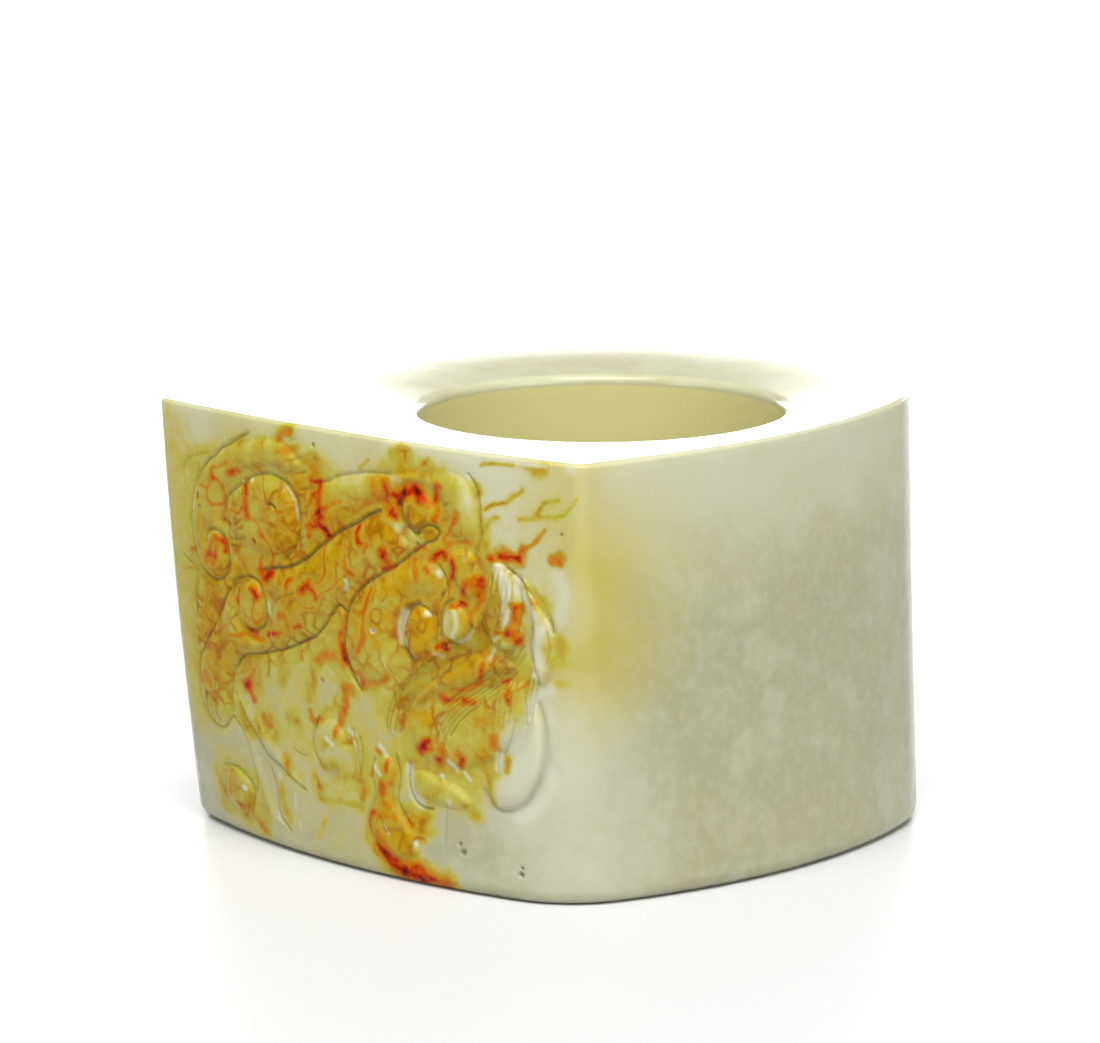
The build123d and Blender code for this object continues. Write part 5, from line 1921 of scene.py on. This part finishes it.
    def skin(self, desk: NodeDesk, seen: StoneSources, ground: Socket, veins: Socket) -> Socket:
        """Lay the weathered skin over a ground, with the painted highlights and pale edges on top.

        Args:
            desk: writes to the material's tree.
            seen: the shared sockets.
            ground: the colour below.
            veins: the net where the skin shows it.

        Returns:
            The colour's socket.
        """
        skin = seen.charts["skin"]
        grain = desk.math("MULTIPLY_ADD", desk.swell(seen.place, self.grain), self.grain_swing, 1.0)
        swing = desk.math("MULTIPLY_ADD", desk.swell(seen.bent, self.clumps), self.clump_swing, grain)
        colour = desk.coat(
            ground,
            desk.math("MULTIPLY", skin, swing),
            Layer(self.halo, 0.0, 0.3),
            Layer(self.olive, 0.18, 0.46),
            Layer(self.gold, 0.38, 0.8),
            Layer(self.umber, 0.78, 1.3),
        )
        tint = desk.coat(self.olive, skin, Layer(self.gold, 0.06, 0.3), Layer(self.vein, 0.25, 0.65))
        colour = desk.mix(desk.math("MULTIPLY", veins, self.vein_cover), colour, tint)
        # Painted highlights and pale edges, in the milky colour.
        return self.patches(desk, seen, colour, "pale")

    def embers(self, desk: NodeDesk, seen: StoneSources, ground: Socket, net: Socket) -> Socket:
        """Lay the russet stains over a ground and darken the cuts by their depth.

        Args:
            desk: writes to the material's tree.
            seen: the shared sockets.
            ground: the colour below.
            net: the skin's net, along which the stains run a little further.

        Returns:
            The colour's socket.
        """
        ember = seen.charts["ember"]
        spread = desk.math("MULTIPLY_ADD", net, self.ember_net, self.ember_core)
        even = desk.math("MULTIPLY", ember, spread)
        swing = desk.math("MULTIPLY", ember, self.ember_swing)
        rough = desk.math("MULTIPLY", desk.swell(seen.place, self.scorch), swing)
        colour = desk.coat(
            ground,
            desk.math("ADD", even, rough),
            Layer(self.olive, 0.0, 0.22),
            Layer(self.ochre, 0.05, 0.32),
            Layer(self.amber, 0.24, 0.66),
            Layer(self.russet, 0.5, 0.95),
            Layer(self.dark, 0.9, 1.3),
        )
        return desk.mix(desk.math("MULTIPLY", seen.charts["cut_dark"], self.cut_dark_cover), colour, self.cut_dark)

    def polish(self, desk: NodeDesk, seen: StoneSources, shader: bpy.types.Node, veins: Socket) -> None:
        """Set the stone's gloss, glow and fine bump; skin and stains are duller and let no light in.

        Args:
            desk: writes to the material's tree.
            seen: the shared sockets.
            shader: the node that is set.
            veins: the net where the skin shows it.
        """
        covered = desk.math("MAXIMUM", seen.charts["skin"], seen.charts["ember"])
        clear = desk.math("SUBTRACT", 1.0, covered, clamp=True)
        roughest = self.roughness + self.rough_swing
        rough = desk.ramp(seen.medium, low=0.3, high=0.7, start=self.roughness, end=roughest)
        gloss = desk.math("MULTIPLY_ADD", clear, self.gloss, self.least_gloss)
        desk.feed(shader.inputs["Specular IOR Level"], gloss)
        desk.feed(shader.inputs["Subsurface Weight"], desk.math("MULTIPLY", clear, self.glow))
        desk.feed(shader.inputs["Roughness"], rough)
        shader.inputs["IOR"].default_value = self.refraction
        shader.inputs["Subsurface Radius"].default_value = self.glow_colours
        shader.inputs["Subsurface Scale"].default_value = self.glow_reach * MM
        bump = desk.add("ShaderNodeBump")
        bump.inputs["Strength"].default_value = self.bump_strength
        bump.inputs["Distance"].default_value = self.bump_height * MM
        dent = desk.math("MULTIPLY", veins, -self.vein_dent)
        desk.feed(bump.inputs["Height"], desk.math("ADD", seen.fine, dent))
        desk.feed(shader.inputs["Normal"], bump.outputs[0])

    def material(self) -> bpy.types.Material:
        """Build the stone's node tree.

        Returns:
            The material.
        """
        stone = bpy.data.materials.new("jade")
        stone.use_nodes = True
        desk = NodeDesk(stone.node_tree)
        shader = stone.node_tree.nodes["Principled BSDF"]
        seen = self.sources(desk)
        net = self.net(desk, seen)
        veins = desk.where(net, seen.charts["skin"], low=0.06, high=0.7)
        colour = self.skin(desk, seen, self.ground(desk, seen), veins)
        desk.feed(shader.inputs["Base Color"], self.embers(desk, seen, colour, net))
        self.polish(desk, seen, shader, veins)
        return stone


@dataclass(frozen=True)
class TableFinish:
    """Plain pale studio table, with a tone that hardly changes."""

    colour: Colour = (0.6, 0.603, 0.603)
    least_tone: float = 0.985
    tone: Pattern = Pattern(30.0)
    roughness: float = 0.45
    gloss: float = 0.3

    def material(self) -> bpy.types.Material:
        """Build the table's node tree.

        Returns:
            The material.
        """
        table = bpy.data.materials.new("table")
        table.use_nodes = True
        desk = NodeDesk(table.node_tree)
        shader = table.node_tree.nodes["Principled BSDF"]
        tone = desk.noise(desk.add("ShaderNodeTexCoord").outputs["Object"], self.tone)
        dim = tuple(self.least_tone * part for part in self.colour)
        desk.feed(shader.inputs["Base Color"], desk.mix(tone, dim, self.colour))
        shader.inputs["Roughness"].default_value = self.roughness
        shader.inputs["Specular IOR Level"].default_value = self.gloss
        return table


# Pieces


@dataclass(frozen=True)
class FlatSide:
    """The ring's outer side laid flat.

    Spots are across and up, in millimetres; the flanks run on past both ends
    of the panel. Shown and carved are the numbers of the vertices on the
    outer side and on the panel. Past is a vertex's distance beyond the ridge.
    """

    spots: np.ndarray
    shown: np.ndarray
    carved: np.ndarray
    past: np.ndarray


@dataclass(frozen=True)
class ThumbRing:
    """The archer's ring, one piece of stone. Sizes are in millimetres, covers are shares."""

    blank: RingBlank = RingBlank()
    finish: JadeFinish = JadeFinish()
    lift: CarvingLift = CarvingLift()
    corner_column: float = 0.5
    ridge_column: float = 2.5
    corner_depth: float = 1.0
    crisp_shift: float = 0.4
    window_cover: float = 0.62
    skin_past_ridge: float = 1.2
    cut_dark_gain: float = 1.15
    cut_dark_power: float = 2.2
    # How much the painted highlights and pale edges take away of the skin, the stains and the darkened cuts.
    highlight_and_pale_over_skin: float = 0.75
    highlight_and_pale_over_embers: float = 0.6
    highlight_and_pale_over_cut_dark: float = 0.8

    def flatten(self, points: np.ndarray, zone: np.ndarray) -> FlatSide:
        """Lay the outer side flat.

        Args:
            points: the blank's points in millimetres.
            zone: number of the zone of each point.

        Returns:
            Where each vertex comes to lie.
        """
        outer = np.isin(zone, OUTER_SIDE)
        level = np.clip(points[:, 2], 0, self.blank.ring_height)
        ridge = self.blank.wall_points(np.full(len(points), self.ridge_column), level)
        corner = self.blank.wall_points(np.full(len(points), self.corner_column), level)
        front = outer & (points[:, 0] <= ridge[:, 0]) & (points[:, 0] >= corner[:, 0])
        front &= points[:, 1] < corner[:, 1] + self.corner_depth
        right = outer & ~front & (points[:, 0] > 0)
        left = outer & ~front & (points[:, 0] <= 0)
        past = np.where(right, np.hypot(*(points[:, :2] - ridge).T), 0.0)
        spots = points[:, [0, 2]].copy()
        spots[right, 0] = (ridge[:, 0] + past)[right]
        spots[left, 0] = (corner[:, 0] - np.hypot(*(points[:, :2] - corner).T))[left]
        return FlatSide(spots, np.flatnonzero(outer), np.flatnonzero(front), past)

    def charts(self, points: np.ndarray, zone: np.ndarray, panel: DragonPanel) -> dict[str, np.ndarray]:
        """Work out what each vertex carries.

        Args:
            points: the blank's points in millimetres.
            zone: number of the zone of each point.
            panel: the carved panel.

        Returns:
            Numbers for every vertex, by name.
        """
        side = self.flatten(points, zone)
        shown, carved = side.shown, side.carved

        def spread(values: np.ndarray, chosen: np.ndarray) -> np.ndarray:
            """Put values of chosen vertices among zeros for the rest."""
            full = np.zeros(len(points))
            full[chosen] = values
            return full

        shift = np.zeros(side.spots.shape)
        shift[carved] = panel.wander(side.spots[carved])
        ragged = (side.spots + shift)[shown]
        crisp = (side.spots + self.crisp_shift * shift)[shown]
        plain = side.spots[shown]
        bare = (1 - panel.covered(ragged, SKIN_FIELDS)) * (1 - panel.stained(crisp, WISPS, WISP_FADE))
        kept = 1 - self.window_cover * panel.stained(ragged, WINDOWS)
        skin = spread((1 - bare) * kept, shown) * np.clip(1 - side.past / self.skin_past_ridge, 0, 1)
        ember = spread(panel.stained(crisp, EMBERS, EMBER_FADE), shown)
        # Painted highlights and pale edges.
        pale = spread(panel.stained(plain, PAINTED_HIGHLIGHTS_AND_PALE_EDGES), shown)
        cut = spread(panel.cut(side.spots[carved]), carved)
        # The cuts darken with their depth.
        cut_dark = np.clip(cut * self.cut_dark_gain, 0, 1) ** self.cut_dark_power
        return {
            "rise": spread(panel.raised(side.spots[carved]), carved),
            "cut": cut,
            "skin": skin * (1 - self.highlight_and_pale_over_skin * pale),
            "halo": spread(panel.stained(plain, HALOS), shown),
            "ember": ember * (1 - self.highlight_and_pale_over_embers * pale),
            "cut_dark": cut_dark * (1 - self.highlight_and_pale_over_cut_dark * pale),
            # Milky patches, with painted light on the flank.
            "milk_and_painted_light": spread(panel.stained(plain, MILK_AND_PAINTED_LIGHT), shown),
            "pale": pale,
            # Marks the hole's wall, which gets a colour of painted light.
            "bore": (zone == Zone.BORE).astype(float),
            "loose": np.isin(zone, OUTER_SIDE).astype(float),
        }

    def build(self) -> bpy.types.Object:
        """Build, carve and dress the ring.

        Returns:
            The finished ring.
        """
        panel = DragonPanel(self.blank)
        mesh, zone = RingSkin(self.blank, panel).mesh("ring_blank")
        points = np.zeros(len(mesh.vertices) * 3)
        mesh.vertices.foreach_get("co", points)
        points = points.reshape(-1, 3) / MM
        for name, values in self.charts(points, zone, panel).items():
            layer = mesh.attributes.new(name, "FLOAT", "POINT")
            layer.data.foreach_set("value", values.astype(np.float32))
        blank = bpy.data.objects.new("ring_blank", mesh)
        bpy.context.scene.collection.objects.link(blank)
        carved = self.lift.carve(blank, self.finish.material())
        bpy.data.objects.remove(blank)
        carved.name = "jade_ring"
        for name in ("rise", "cut", "loose"):
            carved.attributes.remove(carved.attributes[name])
        ring = bpy.data.objects.new("jade_ring", carved)
        bpy.context.scene.collection.objects.link(ring)
        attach(ring, "root")
        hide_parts("thumb_ring")
        return ring


@dataclass(frozen=True)
class Softbox:
    """A white lamp that faces the ring. Place and sides are in metres, its power in watts."""

    name: str
    place: Place
    sides: Point
    watts: float

    def hang(self, target: Vector) -> None:
        """Hang the lamp and turn it to a target."""
        data = bpy.data.lights.new(self.name, "AREA")
        data.shape = "RECTANGLE"
        data.size, data.size_y = self.sides
        data.energy = self.watts
        lamp = bpy.data.objects.new(self.name, data)
        lamp.location = self.place
        lamp.rotation_euler = (target - Vector(self.place)).to_track_quat("-Z", "Y").to_euler()
        bpy.context.scene.collection.objects.link(lamp)


@dataclass(frozen=True)
class Studio:
    """Table, lights and camera. Sizes are in metres, lens and sensor in millimetres, the roll in degrees."""

    table_side: float = 6.0
    target: Place = (-0.002208, -0.002003, 0.01761)
    towards: Place = (0.6592, -0.7269, 0.1944)
    distance: float = 0.43
    roll: float = -0.40
    lens: float = 245.2
    sensor: float = 36.0
    clip_start: float = 0.01
    sky: float = 0.24
    lamps: tuple[Softbox, ...] = (
        Softbox("overhead", (0.12, -0.15, 0.43), (0.30, 0.30), 3.0),
        Softbox("backdrop", (-0.46, 0.50, 0.085), (0.9, 0.13), 4.0),
        Softbox("front_right", (0.50, -0.02, 0.25), (0.25, 0.25), 1.0),
        Softbox("front_left", (-0.10, -0.46, 0.20), (0.22, 0.22), 0.6),
    )

    def table(self) -> bpy.types.Object:
        """Lay the table under the ring."""
        half = self.table_side / 2
        corners = [(-half, -half, 0), (half, -half, 0), (half, half, 0), (-half, half, 0)]
        mesh = bpy.data.meshes.new("table")
        mesh.from_pydata(corners, [], [(0, 1, 2, 3)])
        mesh.materials.append(TableFinish().material())
        table = bpy.data.objects.new("table", mesh)
        bpy.context.scene.collection.objects.link(table)
        return table

    def camera(self) -> bpy.types.Object:
        """Stand the camera where the photographer's was.

        Returns:
            The camera.
        """
        data = bpy.data.cameras.new("camera")
        data.lens = self.lens
        data.sensor_width = self.sensor
        data.sensor_fit = "HORIZONTAL"
        data.clip_start = self.clip_start
        camera = bpy.data.objects.new("camera", data)
        bpy.context.scene.collection.objects.link(camera)
        back = Vector(self.towards).normalized()
        right = Vector((0, 0, 1)).cross(back).normalized()
        right = Matrix.Rotation(math.radians(self.roll), 3, back) @ right
        turn = Matrix((right, back.cross(right), back)).transposed().to_4x4()
        camera.matrix_world = Matrix.Translation(Vector(self.target) + back * self.distance) @ turn
        bpy.context.scene.camera = camera
        return camera

    def lights(self) -> None:
        """Light the ring from above, from low behind and softly from the front."""
        world = bpy.data.worlds.new("studio")
        bpy.context.scene.world = world
        world.use_nodes = True
        background = world.node_tree.nodes["Background"]
        background.inputs["Color"].default_value = (1.0, 1.0, 1.0, 1.0)
        background.inputs["Strength"].default_value = self.sky
        for lamp in self.lamps:
            lamp.hang(Vector(self.target))
        bpy.context.scene.view_settings.view_transform = "Standard"


def report(piece: bpy.types.Object) -> None:
    """Log the size of a finished piece."""
    corners = np.array([corner[:] for corner in piece.bound_box]) / MM
    size = corners.max(0) - corners.min(0)
    triangles = sum(len(face.vertices) - 2 for face in piece.data.polygons)
    LOG.info("%s: %d triangles, %.2f x %.2f x %.2f mm", piece.name, triangles, *size)


def main() -> None:
    """Build the ring and its studio."""
    logging.basicConfig(level=logging.INFO, format="%(message)s")
    studio = Studio()
    studio.camera()
    studio.table()
    studio.lights()
    report(ThumbRing().build())


if __name__ == "__main__":
    main()
